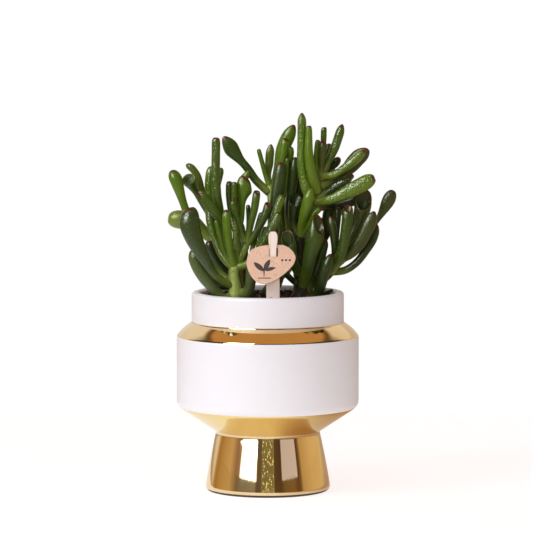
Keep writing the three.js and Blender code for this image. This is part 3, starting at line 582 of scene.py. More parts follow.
def shoot_tree():
    w, given = new_tree("Shoot along a path", SHOOT_INPUTS)
    path = w.node("GeometryNodeMeshToCurve", {"Mesh": given["Path"]}).outputs[0]
    length = w.node("GeometryNodeCurveLength", {0: path}).outputs[0]
    stalk, head, opening = given["Stalk Radius"], given["Head Radius"], given["Mouth"]

    # A flat grid: its columns go round the shoot and its rows go along it.
    grid = w.node("GeometryNodeMeshGrid", {
        "Size X": 1.0, "Size Y": 1.0,
        "Vertices X": w.plus(given["Sides"], 1), "Vertices Y": w.plus(given["Rings"], 1),
    }).outputs["Mesh"]
    spot = w.split(w.node("GeometryNodeInputPosition").outputs[0])
    angle = w.times(w.plus(spot[0], 0.5), WHOLE_TURN)
    row = w.plus(spot[1], 0.5)
    cosine, sine = w.math("COSINE", angle), w.math("SINE", angle)

    # How far along the shoot each row lies: the body, then the rim's arch, then down into the cup.
    body_share = w.math("MINIMUM", w.over(row, TIP_ROWS_FROM), 1.0)
    tip = w.math("MAXIMUM", w.over(w.minus(row, TIP_ROWS_FROM), 1 - TIP_ROWS_FROM), 0.0)
    arch = w.times(w.math("MINIMUM", w.over(tip, RIM_ROW), 1.0), math.pi / 2)
    sinking = w.math("MAXIMUM", w.over(w.minus(tip, RIM_ROW), 1 - RIM_ROW), 0.0)
    rest = w.minus(1.0, sinking)
    bowl = w.minus(1.0, w.times(rest, rest))
    closed_part = w.times_plus(given["Lean"], opening, given["Tip Length"])
    straight_part = w.minus(length, w.times(head, closed_part))
    reach = w.times(w.math("SINE", arch), given["Tip Length"])
    reach = w.minus(reach, w.times(bowl, given["Cup Depth"]))
    along = w.plus(w.times(body_share, straight_part), w.times(reach, head))
    share = w.over(along, length)

    # The radius there: it swells, tapers, closes to the mouth, and is a little uneven.
    swell = w.smooth(share, given["Swell From"], given["Swell To"])
    radius = w.times_plus(swell, w.minus(head, stalk), stalk)
    radius = w.times(radius, w.minus(1.0, w.times(w.smooth(share, *TAPERING), given["Taper"])))
    rounded = w.math("POWER", w.math("MAXIMUM", w.math("COSINE", arch), 0.0), w.plus(given["Point"], 1.0))
    closing = w.times(w.times_plus(rounded, w.minus(1.0, opening), opening), rest)
    first = w.math("MINIMUM", w.times(row, given["Rings"]), 1.0)
    skin_place = w.node("ShaderNodeCombineXYZ", {0: cosine, 1: sine,
                                                 2: w.times(along, LUMPS_PER_METRE)}).outputs[0]
    lumps = w.node("ShaderNodeTexNoise", {"Vector": skin_place, "W": given["Seed"], "Scale": 0.7,
                                          "Detail": 2.0}, noise_dimensions="4D").outputs[0]
    wobble = w.times_plus(w.minus(lumps, 0.5), given["Unevenness"], 1.0)
    pulse = w.over(w.math("PINGPONG", along, KNUCKLE_SPACING / 2), KNUCKLE_SPACING)
    knuckle = w.smooth(pulse, 0.0, KNUCKLE_WIDTH, 1.0, 0.0)
    wobble = w.times_plus(knuckle, given["Knuckle"], wobble)
    ring = w.times(radius, wobble, closing, first)

    # From there to a place in space: sideways, backwards and along, with the mouth leaning.
    pressed = w.times_plus(w.smooth(share, *FLATTENING), w.minus(given["Flatness"], 1.0), 1.0)
    to_side = w.times(cosine, ring)
    to_back = w.times(sine, ring, pressed)
    turn = w.math("RADIANS", given["Turn"])
    to_front = w.times(w.math("COSINE", turn), -1.0)
    facing = w.plus(w.times(cosine, w.math("SINE", turn)), w.times(sine, to_front))
    slant = w.times(facing, ring, w.smooth(share, *LEANING))
    along = w.minus(along, w.times(slant, given["Lean"]))
    on_path = w.math("MINIMUM", w.math("MAXIMUM", along, 0.0), length)
    sampled = w.node("GeometryNodeSampleCurve", {"Curves": path, "Length": on_path}, mode="LENGTH").outputs
    forward = w.vector("NORMALIZE", sampled["Tangent"])
    side = w.vector("NORMALIZE", w.vector("CROSS_PRODUCT", forward, (0, 1, 0)))
    back = w.vector("CROSS_PRODUCT", side, forward)
    target = sampled["Position"]
    for way, distance in ((side, to_side), (back, to_back), (forward, w.minus(along, on_path))):
        target = w.vector("ADD", target, w.scaled(way, distance))

    # What the skin's colours follow. Red sits on the rim's crest, and in spoons down both edges.
    past_crest = w.minus(tip, RIM_ROW)
    from_crest = w.math("MAXIMUM", w.times(past_crest, 2.6), w.times(past_crest, -1.0))
    crest = w.smooth(from_crest, 0.02, w.times_plus(opening, -0.2, 0.55), 1.0, 0.0)
    at_edge = w.smooth(w.math("ABSOLUTE", cosine), *RED_MARGIN_ACROSS)
    margin = w.times(at_edge, w.smooth(share, *RED_MARGIN_ALONG))
    red = w.math("MAXIMUM", w.times(crest, given["Blush"]), w.times(margin, given["Margin"]))
    scar = w.times(knuckle, w.math("MINIMUM", w.times(given["Knuckle"], 20), 1.0))
    shape = grid
    for name, value in {"along": share, "rim": red, "cup": sinking, "speckle": given["Speckle"],
                        "knuckle": scar, "skin": given["Skin"]}.items():
        shape = w.node("GeometryNodeStoreNamedAttribute", {"Geometry": shape, "Name": name, "Value": value},
                       data_type="FLOAT_COLOR" if name == "skin" else "FLOAT", domain="POINT").outputs[0]
    for kind, feeds in (("SetPosition", {"Position": target}), ("MergeByDistance", {"Distance": WELD}),
                        ("SetShadeSmooth", {"Shade Smooth": True}), ("RealizeInstances", {}),
                        ("SetMaterial", {"Material": given["Material"]})):
        shape = w.node(f"GeometryNode{kind}", {"Geometry": shape, **feeds}).outputs[0]
    w.node("NodeGroupOutput", {0: shape})
    return w.tree


SHOOT_TREE = shoot_tree()
print("shoot tree:", len(SHOOT_TREE.nodes), "nodes")

# %% Growing one shoot as a plain mesh
shoots_grown = []


def grown(material, path, stalk, head, **inputs):
    """The mesh of one shoot. stalk and head are radii in millimetres."""
    line = spline(path)
    thread = bpy.data.meshes.new("path")
    thread.from_pydata(line.tolist(), [(i, i + 1) for i in range(len(line) - 1)], [])
    thread.materials.append(material)
    sizes = {"Stalk Radius": stalk * MM, "Head Radius": head * MM, "Seed": len(shoots_grown) * 1.7}
    mesh = grown_on(thread, SHOOT_TREE, {**sizes, "Material": material, **inputs})
    body = bmesh.new()
    body.from_mesh(mesh)
    if body.calc_volume(signed=True) < 0:
        bmesh.ops.reverse_faces(body, faces=body.faces)
    body.to_mesh(mesh)
    body.free()
    shoots_grown.append(len(mesh.polygons))
    return mesh


print("shoot grower ready")

# %% [markdown]
# ## Leaf skin and stem skin
#
# The skin is waxy and smooth. It is green, paler and yellower where a leaf leaves its stem, and its
# rim turns red-brown in the sun. Under a soft light the wax breaks the highlight up into small
# specks, which comes from fine relief and uneven gloss. The colours follow the attributes that the
# tree stored, so the red always sits on the rim, whichever way a leaf bends.
# Deep in a cup the skin is darkened as painted shade.

# %% Leaf skin
RIM_RED, BASE_PALE, CUP_PAINTED_SHADE = linear(84, 32, 22), linear(150, 164, 66), linear(30, 38, 16)
leaf_skin, w, inputs = new_material("Waxy leaf skin", IOR=1.4, Coat_Roughness=0.05, Subsurface_Weight=0.05,
                                    Subsurface_Radius=(0.001, 0.0018, 0.0005))
skin = w.attribute("skin", "Color")
along, rim, cup, wax = (w.attribute(name) for name in ("along", "rim", "cup", "speckle"))
fine = w.noise(420, 4)
shaded = w.mix(1.0, skin, (0.66, 0.7, 0.55, 1), "MULTIPLY")
colour = w.mix(w.smooth(w.noise(60), 0.3, 0.75, 0.0, 0.5), skin, shaded)
colour = w.mix(w.smooth(along, 0.02, 0.38, 0.55, 0.0), colour, BASE_PALE)
colour = w.mix(w.smooth(fine, 0.6, 0.8, 0.0, 0.2), colour, w.mix(0.5, skin, linear(170, 190, 110)))
# Painted shade: the colour darkens deep in the cup's hollow.
colour = w.mix(w.smooth(cup, 0.05, 0.7, 0.0, 0.8), colour, CUP_PAINTED_SHADE)
flush = w.times(rim, w.smooth(w.noise(240), 0.2, 0.75, 0.75, 1.1))
colour = w.mix(w.smooth(flush, 0.15, 0.85), colour, RIM_RED)

# A thick wax shines in specks, and a thin one is dull.
dull = w.plus(w.times(cup, 0.4), w.smooth(wax, 0.1, 0.8, 0.14, 0.0))
gloss = w.plus(dull, w.smooth(fine, 0.35, 0.7, 0.14, 0.28))
pits = w.node("ShaderNodeTexVoronoi", {"Vector": w.place(), "Scale": 620.0}).outputs[0]
surface = w.times_plus(w.noise(480), 0.8, w.smooth(pits, 0.0, 0.45, 0.0, 0.4))
coat = w.times(w.smooth(wax, 0.1, 0.8, 0.1, 0.5), w.smooth(cup, 0.05, 0.4, 1.0, 0.1))
w.feed(inputs["Coat Weight"], coat)
finish(w, inputs, colour, gloss, height=w.times(surface, w.plus(wax, 0.08)), depth=0.001, strength=0.8,
       coat=True)
print("leaf skin ready")

# %% Stem skin
stem_skin, w, inputs = new_material("Stem skin", IOR=1.45, Roughness=0.45, Subsurface_Weight=0.06,
                                    Subsurface_Radius=(0.0012, 0.002, 0.0006))
skin = w.attribute("skin", "Color")
streaks = w.noise(260, 4, (1, 1, 0.25))
shaded = w.mix(1.0, skin, (0.5, 0.52, 0.42, 1), "MULTIPLY")
colour = w.mix(w.smooth(streaks, 0.3, 0.7, 0.0, 0.65), skin, shaded)
colour = w.mix(w.smooth(w.attribute("knuckle"), 0.3, 1.0, 0.0, 0.22), colour, linear(168, 160, 104))
corky = w.smooth(w.noise(190, 4), 0.58, 0.68)
colour = w.mix(w.times(corky, 0.6), colour, linear(112, 74, 48))
finish(w, inputs, colour, height=w.plus(streaks, w.noise(500)), depth=0.0006, strength=0.6)
print("stem skin ready")

# %% [markdown]
# ## How a row describes a shoot
#
# Each stem is a bundle of rods grown by the shoot tree, with shallow knuckles where old leaves sat, and
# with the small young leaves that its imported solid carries. The full-grown leaves are a piece each. A
# row says what a botanist would note: how the shoot ends, its green, the radius of its stalk and of
# its head, what else is special about it, and then its path, point by point as x,z,depth. A turn of 0
# faces the mouth to the front, 90 to the left of an upright leaf, and -90 to its right.

# %% Skin tones and tips
TONES = {name: linear(*colour) for name, colour in {
    "fresh": (88, 118, 14), "bright": (98, 124, 22), "green": (72, 96, 16), "deep": (58, 80, 16),
    "dark": (42, 58, 14), "olive": (92, 106, 26), "grey": (80, 94, 46), "dusk": (54, 72, 26),
    "pale": (118, 136, 44), "moss": (62, 72, 24), "bark": (112, 122, 54), "stem": (172, 190, 92),
    # The trunk tone is nearly black: painted shade, for the main stem in the shadow of its leaves.
    "branch": (124, 150, 54), "trunk": (40, 43, 18), "bronze": (72, 80, 22),
}.items()}
TIPS = {
    "cut": {},  # an open mouth with a flat edge
    "round": {"Mouth": 0.25, "Cup Depth": 0.15, "Tip Length": 1.5, "Point": 0.15},
    "pointed": {"Mouth": 0.1, "Cup Depth": 0.1, "Tip Length": 2.2, "Point": 0.5},
    "rod": {"Mouth": 0.2, "Cup Depth": 0.05, "Lean": 0.0, "Knuckle": 0.05, "Blush": 0.0, "Margin": 0.0,
            "Unevenness": 0.2, "Rings": 60, "Sides": 32},
}
YOUNG = {"Rings": 34, "Sides": 18, "Lean": 0.2}


def rows(table):
    """The rows of a table. An indented line carries on the row above it."""
    return table.strip().replace("\n    ", " ").splitlines()


def shoot(row, usual):
    """Grows the shoot that a row describes. usual: what it has unless its tip or its row says more."""
    tip, tone, stalk, head, *rest = row.split()
    path = [[float(number) for number in item.split(",")] for item in rest if "," in item]
    special = dict(item.split("=") for item in rest if "=" in item)
    special = {name.replace("_", " ").title(): float(value) for name, value in special.items()}
    material = stem_skin if tip == "rod" else leaf_skin
    looks = {**usual, **TIPS[tip], **special}
    return grown(material, path, float(stalk), float(head), Skin=TONES[tone], **looks)


def join(name, meshes):
    """One mesh out of several, with their attributes kept."""
    parts = [put(name, mesh) for mesh in meshes]
    with bpy.context.temp_override(active_object=parts[0], selected_editable_objects=parts,
                                   selected_objects=parts):
        bpy.ops.object.join()
    whole = parts[0].data
    bpy.data.objects.remove(parts[0])
    return whole


print(len(TONES), "skin tones,", len(TIPS), "kinds of tips")

# %% [markdown]
# ## Stems
#
# The rods and young leaves of a stem are joined in one piece, because on the plant they are one.

# %% Stems with their young leaves
# tip, tone, stalk radius, head radius, what is special, path
STEMS = {
    "left_stem": """
rod stem 4.6 3.6 -22,126,-20 -23,143,-20 -24,152,-20 -23,161,-19
rod bright 3.4 2.4 -23,158,-19 -22.3,168,-17 -22.3,184,-13
rod branch 3.1 2.6 -23.5,156,-19 -20.5,162.5,-17.5 -17,168.5,-15.5 -14.3,174.5,-14
rod branch 2.8 2.5 -23,158,-19 -16,159,-20 -10,163,-19
cut fresh 1.3 1.7 -26,158,-20 -31.5,171,-22.5 -34,180.5,-23 -36.5,191,-22
cut deep 1.8 2.3 -12,163,-19 -9.5,177,-11 -6,189,-8 -4,196,-8
cut deep 1.7 2.4 -23,181,-12 -26,196,-7 -27,207,-6 -27,218,-6
cut dark 1.3 1.6 -15,175,-13 -13.6,190,-8 -13.8,201.5,-7
cut green 1.8 2.2 turn=30 lean=0.5 -16,174,-14 -20,187.5,-18 -23,196.5,-19 -25,205.5,-19
cut fresh 1.8 2.6 -22.3,181,-13 -22,190,4 -21,200,14 -20,209,19
""",
    "rear_left_stem": """
rod bark 4 2.7 -17,126,0 -21.5,148,0 -25.5,164,1 -28.5,176,0
round fresh 1.5 2.4 swell_from=0.6 swell_to=0.9 -28,172,2 -36,195,4 -35.5,212,4 -32.6,227.5,4
cut moss 1.5 2 blush=0.8 -28,175,1 -32,186,5 -36,198,6 -39.8,207.7,6
cut dark 2.6 3.2 -21,147,1 -29.5,154.5,1 -36.5,164,2 -42,176,3
cut dark 2.2 2.8 -21,143,1 -28,143.5,3 -36,145.5,5 -40,149,6
cut dark 2.2 2.8 -21,144,1 -17.5,146,4 -15.5,151,7 -12,159,10
cut deep 2.6 3.2 -22,150,1 -27,160,14 -28,172,24 -28,184,31
cut green 2 2.6 -26,166,1 -33,176,14 -38,187,24 -38.5,199,30
""",
    "centre_stem": """
rod stem 3.8 2.4 2,126,-6 3,150,-4 2.5,175,0 2.5,195,3 1.5,216,6
cut grey 1.3 1.5 0,140,-7 -5,138.5,-18 -2,142,-21 1,147,-21
cut fresh 1.9 1.6 mouth=0.6 1,214,6 -2,224.5,6 -4.5,233,5 -6.5,240.5,4.5
pointed olive 1.3 3 flatness=0.6 blush=0.8 swell_from=0.25 swell_to=0.6 margin=0.6 1.4,214,7 1,226,10
    1.3,235,11 2.3,244,11
cut green 1.4 1.6 3,192,3 9.5,201,0 12,212,-1 13.8,234.5,-1
cut deep 2.4 3 3,148,-4 0,160,11 -3,172,22 -1,186,30
cut fresh 2.2 2.8 2.5,165,-1 9,178,7 10,192,15 9,206,20
""",
    "rear_stem": """
rod bark 3.8 2.6 4,124,20 4,150,22 5,172,26 6,189,30
cut green 2.2 3 turn=180 5,178,27 4,190,38 5,203,45 6.5,218,48
cut fresh 2 2.6 turn=180 6,187,30 9,200,36 10,215,38 10.5,230,38
""",
    "main_stem": """
rod trunk 7 5 knuckle=0.012 24,124,0 24,138,0 23.5,150,0 23,160,0
rod trunk 5.4 3.5 knuckle=0.012 23.4,150,0 22.8,168,0 22.5,180,0 28,195,0
rod bark 3.4 2.4 22.5,180,0 28,194,0 33.5,208,0 37.3,226,0
rod trunk 4 2.6 knuckle=0.012 24,145,1 35,148,2 42,152.5,1 48,159,1 54,170,3
rod trunk 2.8 2.2 knuckle=0.012 22,160,2 18,172,7 16,184,10 15,193,11
round fresh 2.1 2.3 23,179,-1 29,187,-8 32.5,195,-10 37.5,199.5,-10.5
cut fresh 1.9 2 37,222,0 34.2,229,-3 34,236,-3 35.2,247,-3
cut bronze 2.4 2.9 mouth=0.65 blush=1.8 37.2,222,0 37.8,231,-5 38.3,238,-6 38.6,246,-6
round olive 2.8 2.8 37.2,222,1 41.5,230,6 42.5,238,7 43,244.5,7
round dark 2 3.1 37.2,221,1 44.5,228,10 50.5,234.5,10
cut dark 1.8 2 35,211,1 47,213.5,8 55,218.5,10 60,222.5,10
pointed moss 2.4 3 44,154.5,1 47,166,-5 46.3,180,-8 43.8,193.5,-9
round dark 2.1 2.6 46.5,157.5,1 47.5,170,1 48,182,0 49.4,200,0
round dark 3 4.2 speckle=0 32,200,1 43,200.5,9 55,203,10 66,207.5,9
round dark 3 4.2 29,184,5 38,189,10 46,194,12 53,202,12
round dark 2.4 4.5 swell_from=0.4 swell_to=0.7 33,158,6 37,170,8 41.5,184,9 43.5,201,9
round dark 2.6 3.6 22.3,168,3 21.5,186,9 22.5,204,10 23,222,8
cut dark 2.1 2.3 20,146,-2 15,150.5,-8 10,156.5,-10
cut dark 1.2 1.3 mouth=0.3 30,140,2 39,139,5 46,141.5,6
cut fresh 2.2 2.8 turn=180 28,194,1 30,204,14 31,216,24 30.5,228,30
cut green 2 2.6 turn=180 33.5,207,1 40,214,14 44,221,24 45,229,30
cut moss 2.2 3 turn=180 53,167,3 62,172,14 67,181,24 66,193,30
""",
}
for node, table in STEMS.items():
    meshes = [shoot(row, YOUNG) for row in rows(table)]
    add_piece(f"{node}_grown", join(node, meshes), "stem_bark", node)

# %% [markdown]
# ## Full-grown leaves
#
# Each of these rows begins with the leaf's name, and the rest is as before. The leaf grows out of its
# stem, so its first stretch lies inside the stem and no gap shows at the joint.

# %% Leaves on the left
LEFT_LEAVES = """
left_front round dusk 2.7 7.5 flatness=0.85 turn=70 lean=0.3 blush=0.7 speckle=0.35 swell_from=0.15
    swell_to=0.97 -24,143.5,-20 -36.5,151.5,-28 -44,163,-32 -51.5,177,-34 -55,189.5,-34 -55,200,-33
left_low round grey 2.6 4.4 lean=0.3 turn=60 blush=0.6 swell_from=0 swell_to=0.6 -24,138,-20 -31,136,-23
    -39,143.5,-25 -48,155.5,-25 -53.5,170,-25
left_outer round fresh 2.7 4.8 turn=-40 lean=0.3 blush=0.8 swell_from=0.72 swell_to=0.98 -24,146,-19
    -35.5,154.5,-15 -44,165.5,-16 -50,177,-18 -54.5,189.5,-19 -59.5,203.5,-19 -66.5,226,-19
left_round cut pale 3.2 6.6 mouth=0.25 cup_depth=0.15 lean=0.1 blush=0.3 flatness=0.85 -26.5,168,1
    -36,174,8 -47.5,184.5,12 -54.5,189.5,12 -70,192,12
left_long round fresh 2.6 3.1 speckle=0.6 blush=0.2 -24,156,-20 -32,165.5,-17 -37,177,-12 -40.5,189.5,-8
    -41,205,-5 -41,219,-5 -39.5,228.5,-5
left_tall cut green 3.6 3.1 cup_depth=0.5 lean=0.15 mouth=0.6 speckle=0.7 unevenness=0.3 blush=1.5
    swell_from=0.5 swell_to=0.8 -28,173,0 -32.5,187.5,-5 -35,201.5,-9 -36.3,212,-11 -36.3,248.6,-12
left_olive round olive 2 2.6 lean=0.4 turn=-60 blush=1.1 -27,170,1 -36,184,5 -40,195,5 -42.5,202,4
    -46,210,2 -50,223,0 -56.5,230.5,0
left_trumpet cut green 2.1 5.3 mouth=0.85 lean=0 cup_depth=0.25 blush=0 swell_from=0.72 swell_to=0.98
    flatness=0.85 -27.5,171,0 -36,186,0 -45,201,-1 -51.5,212,-4 -54.5,217.5,-9 -55.5,219.5,-14
left_hooked pointed green 2.3 3.7 lean=0.9 turn=70 flatness=0.65 blush=1.2 swell_from=0.5 swell_to=0.8
    -23.5,161,-18 -27,175.5,-16 -32,188,-17 -38.5,198,-18 -49,210.5,-19
left_centre round fresh 2.8 3.1 lean=0.25 blush=1.1 mouth=0.4 -23.5,156,-19 -26.5,170,-25 -28.5,184,-27
    -29,198,-27
"""
print(len(rows(LEFT_LEAVES)), "leaves on the left")

# %% Leaves in the middle
MIDDLE_LEAVES = """
inner_upright cut green 2.3 2.7 mouth=0.75 cup_depth=0.6 lean=0.5 blush=1.8 -15,174,-14 -12,187.5,-17
    -9.5,198,-18 -7.5,211.5,-18
inner_leaning cut deep 2.2 2.8 mouth=0.75 cup_depth=0.6 lean=0.5 turn=-20 blush=1.8 -15,173,-14 -7,184,-17
    -2.5,192.5,-18 0.7,203,-18
orange_tip round fresh 2.2 3 lean=0.3 turn=-30 blush=0.8 speckle=0.8 -11,162,-18 -4,175,-15 2,186,-15
    10.5,208.5,-15
above_tag round green 2.5 3.3 lean=0.3 turn=-30 blush=0.8 speckle=0.8 -11,162,-19 -4,173,-23 1.5,182,-25
    8.5,196,-26
behind_tag round grey 3.6 4.1 -20.5,139,-20 -14,140,-26 -12,148,-28 -11,158,-28 -9,169,-27
inner_narrow cut green 1.8 2.1 mouth=0.5 lean=0.1 -22.3,182,-13 -22.5,193,-12 -23.5,205,-12
    -23.5,217.5,-12
inner_spoon round fresh 2 5.9 lean=0.5 turn=-90 flatness=0.6 swell_from=0.5 swell_to=0.82 blush=1.3
    margin=0.5 speckle=0.4 -22,181,-12 -19,189,-9 -18,199,-8 -17.5,207,-8 -15,221.5,-8
inner_brown_tip round fresh 1.9 2.6 lean=0.3 turn=-90 blush=1.3 -22.5,181,-12 -23,196,-3 -21.5,208,-2
    -18.5,218,-1.5 -12,224.8,-1
arching_spoon pointed deep 2.9 5.8 turn=90 blush=0.9 flatness=0.55 swell_from=0.55 swell_to=0.85
    margin=0.9 lean=0.2 2,209,5 -3,213.5,6 -8.5,219,7 -14.5,227.5,8 -21,235,8 -31.5,249.2,6
centre_rear pointed fresh 2.5 4.9 flatness=0.8 turn=-90 blush=1 swell_from=0.35 swell_to=0.75 margin=0.6
    lean=0.1 2.5,206,5 5,219,8 7.5,231,9 10,240,9 18.7,257.5,7
centre_slim round fresh 2.2 3.1 lean=0.3 turn=-60 blush=1.1 mouth=0.3 2.5,199,4 7.5,214,3 9.5,227,3
    12.5,248.3,3
centre_broad round dusk 3.4 4.3 lean=0.2 blush=1.1 mouth=0.35 2.5,170,-1 3,185,-6 4,197,-7 6,208,-7
    9.7,231.5,-6
beside_tag cut grey 3 3.2 3,138,-7 7,146,-16 9.5,155,-18 10.5,167,-18
"""
print(len(rows(MIDDLE_LEAVES)), "leaves in the middle")

# %% Leaves of the crown
CROWN_LEAVES = """
crown_upright cut fresh 2 2.6 mouth=0.4 turn=-60 blush=0.4 15,192,11 14.5,210,11 15,228,8 16.2,242.3,4
crown_red_tip pointed dusk 2.8 4 lean=0.4 turn=-90 blush=0.8 15.5,183,9 14.5,195,5 16,208,3 18.3,225,3
    20,235,3
crown_cupped cut dark 2.6 5 mouth=0.85 cup_depth=1.8 lean=1.7 blush=0.2 22.5,180,0 18,187,-2 17.8,195,-3
    21.5,212,-2.5
tallest pointed fresh 3.6 3.1 lean=0.2 swell_from=0.05 swell_to=0.4 margin=0.7 blush=1 speckle=1
    31.5,203,0 27,212,-7 24.5,222,-8 23.5,232,-9 23.8,244,-9 23.9,266,-9
tall_bright cut bright 3.8 2.8 cup_depth=0.35 lean=0.1 mouth=0.5 taper=0.25 blush=1.7 34.5,210,0 32,219,-8
    30,228,-12 28.8,237,-13.5 28.8,257,-13.5
crown_front pointed bright 3.4 3.9 lean=0.3 turn=-60 blush=0.5 22.8,179,0 25,192,-9 27.5,201.5,-13
    31,213,-15
crown_thin cut green 1.6 2.1 mouth=0.6 cup_depth=0.4 lean=0.2 turn=60 37.2,223,0 37.5,234,0 38.8,243,0
    39.3,256,0
crown_leaning pointed green 2.2 3.2 turn=-80 margin=0.6 swell_from=0.2 swell_to=0.6 lean=0.1 speckle=0.5
    37.2,221,0 42.5,232,-1 46.5,240.5,-1 52.4,258,-1
crown_bright pointed bright 2.6 3.3 turn=-60 speckle=1 lean=0.1 blush=1.3 36.8,221.5,0 47,223,-5
    54,227.5,-6 61,233,-6 68.5,240,-6
crown_spoon pointed bronze 3.4 5.6 flatness=0.5 turn=90 blush=0.9 margin=1 lean=0.1 tip_length=1.7
    point=0.25 swell_from=0.35 swell_to=0.7 36,214.5,0 47,218.8,6 56,226.5,7 63,234.3,7 70.5,240.6,6
"""
print(len(rows(CROWN_LEAVES)), "leaves of the crown")

# %% Leaves on the right and in front of the main stem
RIGHT_LEAVES = """
right_dark pointed dusk 2.9 4 blush=0.8 speckle=1 lean=0.1 34.5,206,0 43.5,211.5,0 50.5,216,-0.5
    59.5,221.5,-1
right_bright round bright 2.9 5.4 turn=-90 flatness=0.7 swell_from=0.15 swell_to=0.75 speckle=1 lean=0.1
    blush=1.3 32.5,203,0 43.5,205,-9 52,208.5,-11 61,213,-12 75.2,220.5,-12
right_curved pointed dark 2.7 3.1 lean=0.3 speckle=0.2 44,154,1 54.5,155.5,-4 62.5,161,-5 69,169.5,-5
    74,178,-4 76.3,188.5,-3
right_broad pointed moss 3 4.5 turn=90 blush=0.8 flatness=0.7 swell_from=0.1 swell_to=0.5 margin=0.6
    lean=0.1 speckle=0.2 50.5,162,1 59,168,-9 65.5,176.5,-12 70,185,-13 74.7,197,-13
right_cup cut deep 3.7 3.9 lean=0.7 mouth=0.75 cup_depth=2 speckle=0.3 blush=0.8 43,153,1 51,166,-12
    54,177,-16 56.7,201,-17
right_trumpet cut moss 3.8 6 flatness=0.9 mouth=0.88 blush=0.5 lean=1.2 cup_depth=1.2 53,167,3 57.5,177,-1
    62.5,185.5,-2 66,197,-3 68.5,211,-7
right_far round moss 2 4.6 flatness=0.7 lean=0.2 blush=0.7 margin=0.5 swell_from=0.6 swell_to=0.88
    53,167,3 62,173.5,10 70,182.5,13 78,192.5,14 88.2,211.5,14
front_trumpet cut deep 4.3 6.2 flatness=0.85 turn=-40 lean=1.3 mouth=0.7 cup_depth=1.6 blush=0.6
    24.5,143,0 27.5,155,-11 30,166,-15 34,181,-17 37.5,193.5,-17
front_dark round dark 2.9 3.4 27,138,0 33,152,-7 37,164,-8 40,177.5,-8
front_low pointed dark 3.4 3.9 turn=70 blush=0.9 swell_from=0.1 swell_to=0.5 lean=0.1 speckle=0 30,131,-5
    35,139,-12 38.7,150,-16 44.3,167,-17
front_cupped cut deep 3.3 5.2 flatness=0.85 mouth=0.8 cup_depth=1.6 turn=5 lean=1.4 blush=0.5 22.5,151,0
    17.5,163,-10 15,173,-13 12.8,184,-14
"""
print(len(rows(RIGHT_LEAVES)), "leaves on the right")

# %% Leaves at the back
BACK_LEAVES = """
rear_low cut deep 2.7 3.2 turn=180 -20.5,146,1 -17,158,15 -17,173,27 -20,189,35
rear_trunk cut dusk 3 3.5 mouth=0.7 cup_depth=0.6 lean=0.8 turn=180 23.5,149,0 24,160,17 24,172,29
    24.5,186,37
rear_crown cut green 3 3.5 mouth=0.6 lean=0.6 turn=150 23,156,0 30,165,17 33,178,30 34,192,38
rear_right cut deep 2.8 3.3 mouth=0.6 lean=0.5 turn=-150 47,158,1 55,166,15 58,176,28 57,190,36
back_left cut fresh 2.8 3.2 turn=180 4.5,156,23 -2,166,36 -6,175,45 -6,184,49
back_right cut fresh 2.7 3.3 mouth=0.65 cup_depth=0.5 lean=0.7 turn=180 5,168,25 12,180,38 15,193,46
    15,207,50
back_low cut grey 3 3.5 mouth=0.5 lean=0.4 turn=180 4,147,22 14,156,38 20,166,48 22,180,52
"""
print(len(rows(BACK_LEAVES)), "leaves at the back")

# %% Grow the leaves
for table in (LEFT_LEAVES, MIDDLE_LEAVES, CROWN_LEAVES, RIGHT_LEAVES, BACK_LEAVES):
    for row in rows(table):
        name, description = row.split(maxsplit=1)
        add_piece(f"{name}_leaf_grown", shoot(description, {}), "leaf_skin", f"{name}_leaf")
print(len(shoots_grown), "shoots,", sum(shoots_grown), "faces")

# %% [markdown]
# ## Potting soil
#
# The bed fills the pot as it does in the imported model, with a lumpy top. Crumbs and bits of fibre are
# scattered on it by a Geometry Nodes tree: points on the top faces, a rough crumb on each, turned and
# scaled at random from a fixed seed.

# %% Soil bed
SOIL_Z, SOIL_R = 137, INNER_R - 0.4
bed_mesh = turned("Soil bed", [
    (0, [(0, WALL + 0.4), (FOOT_R - WALL - 1, WALL + 0.4), (NECK_R - WALL - 0.6, NECK_Z),
         (NECK_R - WALL - 0.6, NECK_Z + 6), (BODY_R - WALL - 1, BODY_LOW + 5),
         (BODY_R - WALL - 1, BODY_HIGH - 5), (SOIL_R, COLLAR_LOW - 3)]),
    (0, straight((SOIL_R, COLLAR_LOW - 3), (SOIL_R, SOIL_Z - 1.2), 4)),
    (0, straight((SOIL_R, SOIL_Z - 1.2), (SOIL_R - 4, SOIL_Z), 4)),
    (0, straight((SOIL_R - 4, SOIL_Z), (0, SOIL_Z), 26)),
], SOIL_TURNS)

soil, w, inputs = new_material("Potting soil", Roughness=0.95, Specular_IOR_Level=0.25)
peat = w.noise(420, 5)
earth = w.mix(w.smooth(peat, 0.3, 0.7), linear(24, 17, 12), linear(66, 48, 36))
earth = w.mix(w.smooth(w.noise(75, 2), 0.52, 0.72, 0.0, 0.6), earth, linear(96, 74, 54))
finish(w, inputs, earth, height=peat, depth=0.0006, strength=0.9)
fibre = plain("Peat fibre", 0.8, (84, 56, 34), (156, 118, 80), 160)
for material in (soil, fibre):
    bed_mesh.materials.append(material)
print("soil bed:", len(bed_mesh.polygons), "faces")

# %% The tree that scatters crumbs and fibres
SOIL_INPUTS = {
    "Bed": "Geometry", "Crumbs": 0.19, "Fibres": 0.03, "Top": 0.1355, "Reach": 0.0455, "Lumps": 0.0022,
    "Seed": 7, "Soil": "Material", "Fibre": "Material",
}
CRUMB_SIZES, FIBRE_SIZES = (0.00045, 0.0014), (0.0004, 0.0009)
PER_SQUARE_MM, ANY_TURN = 1e6, 6.28


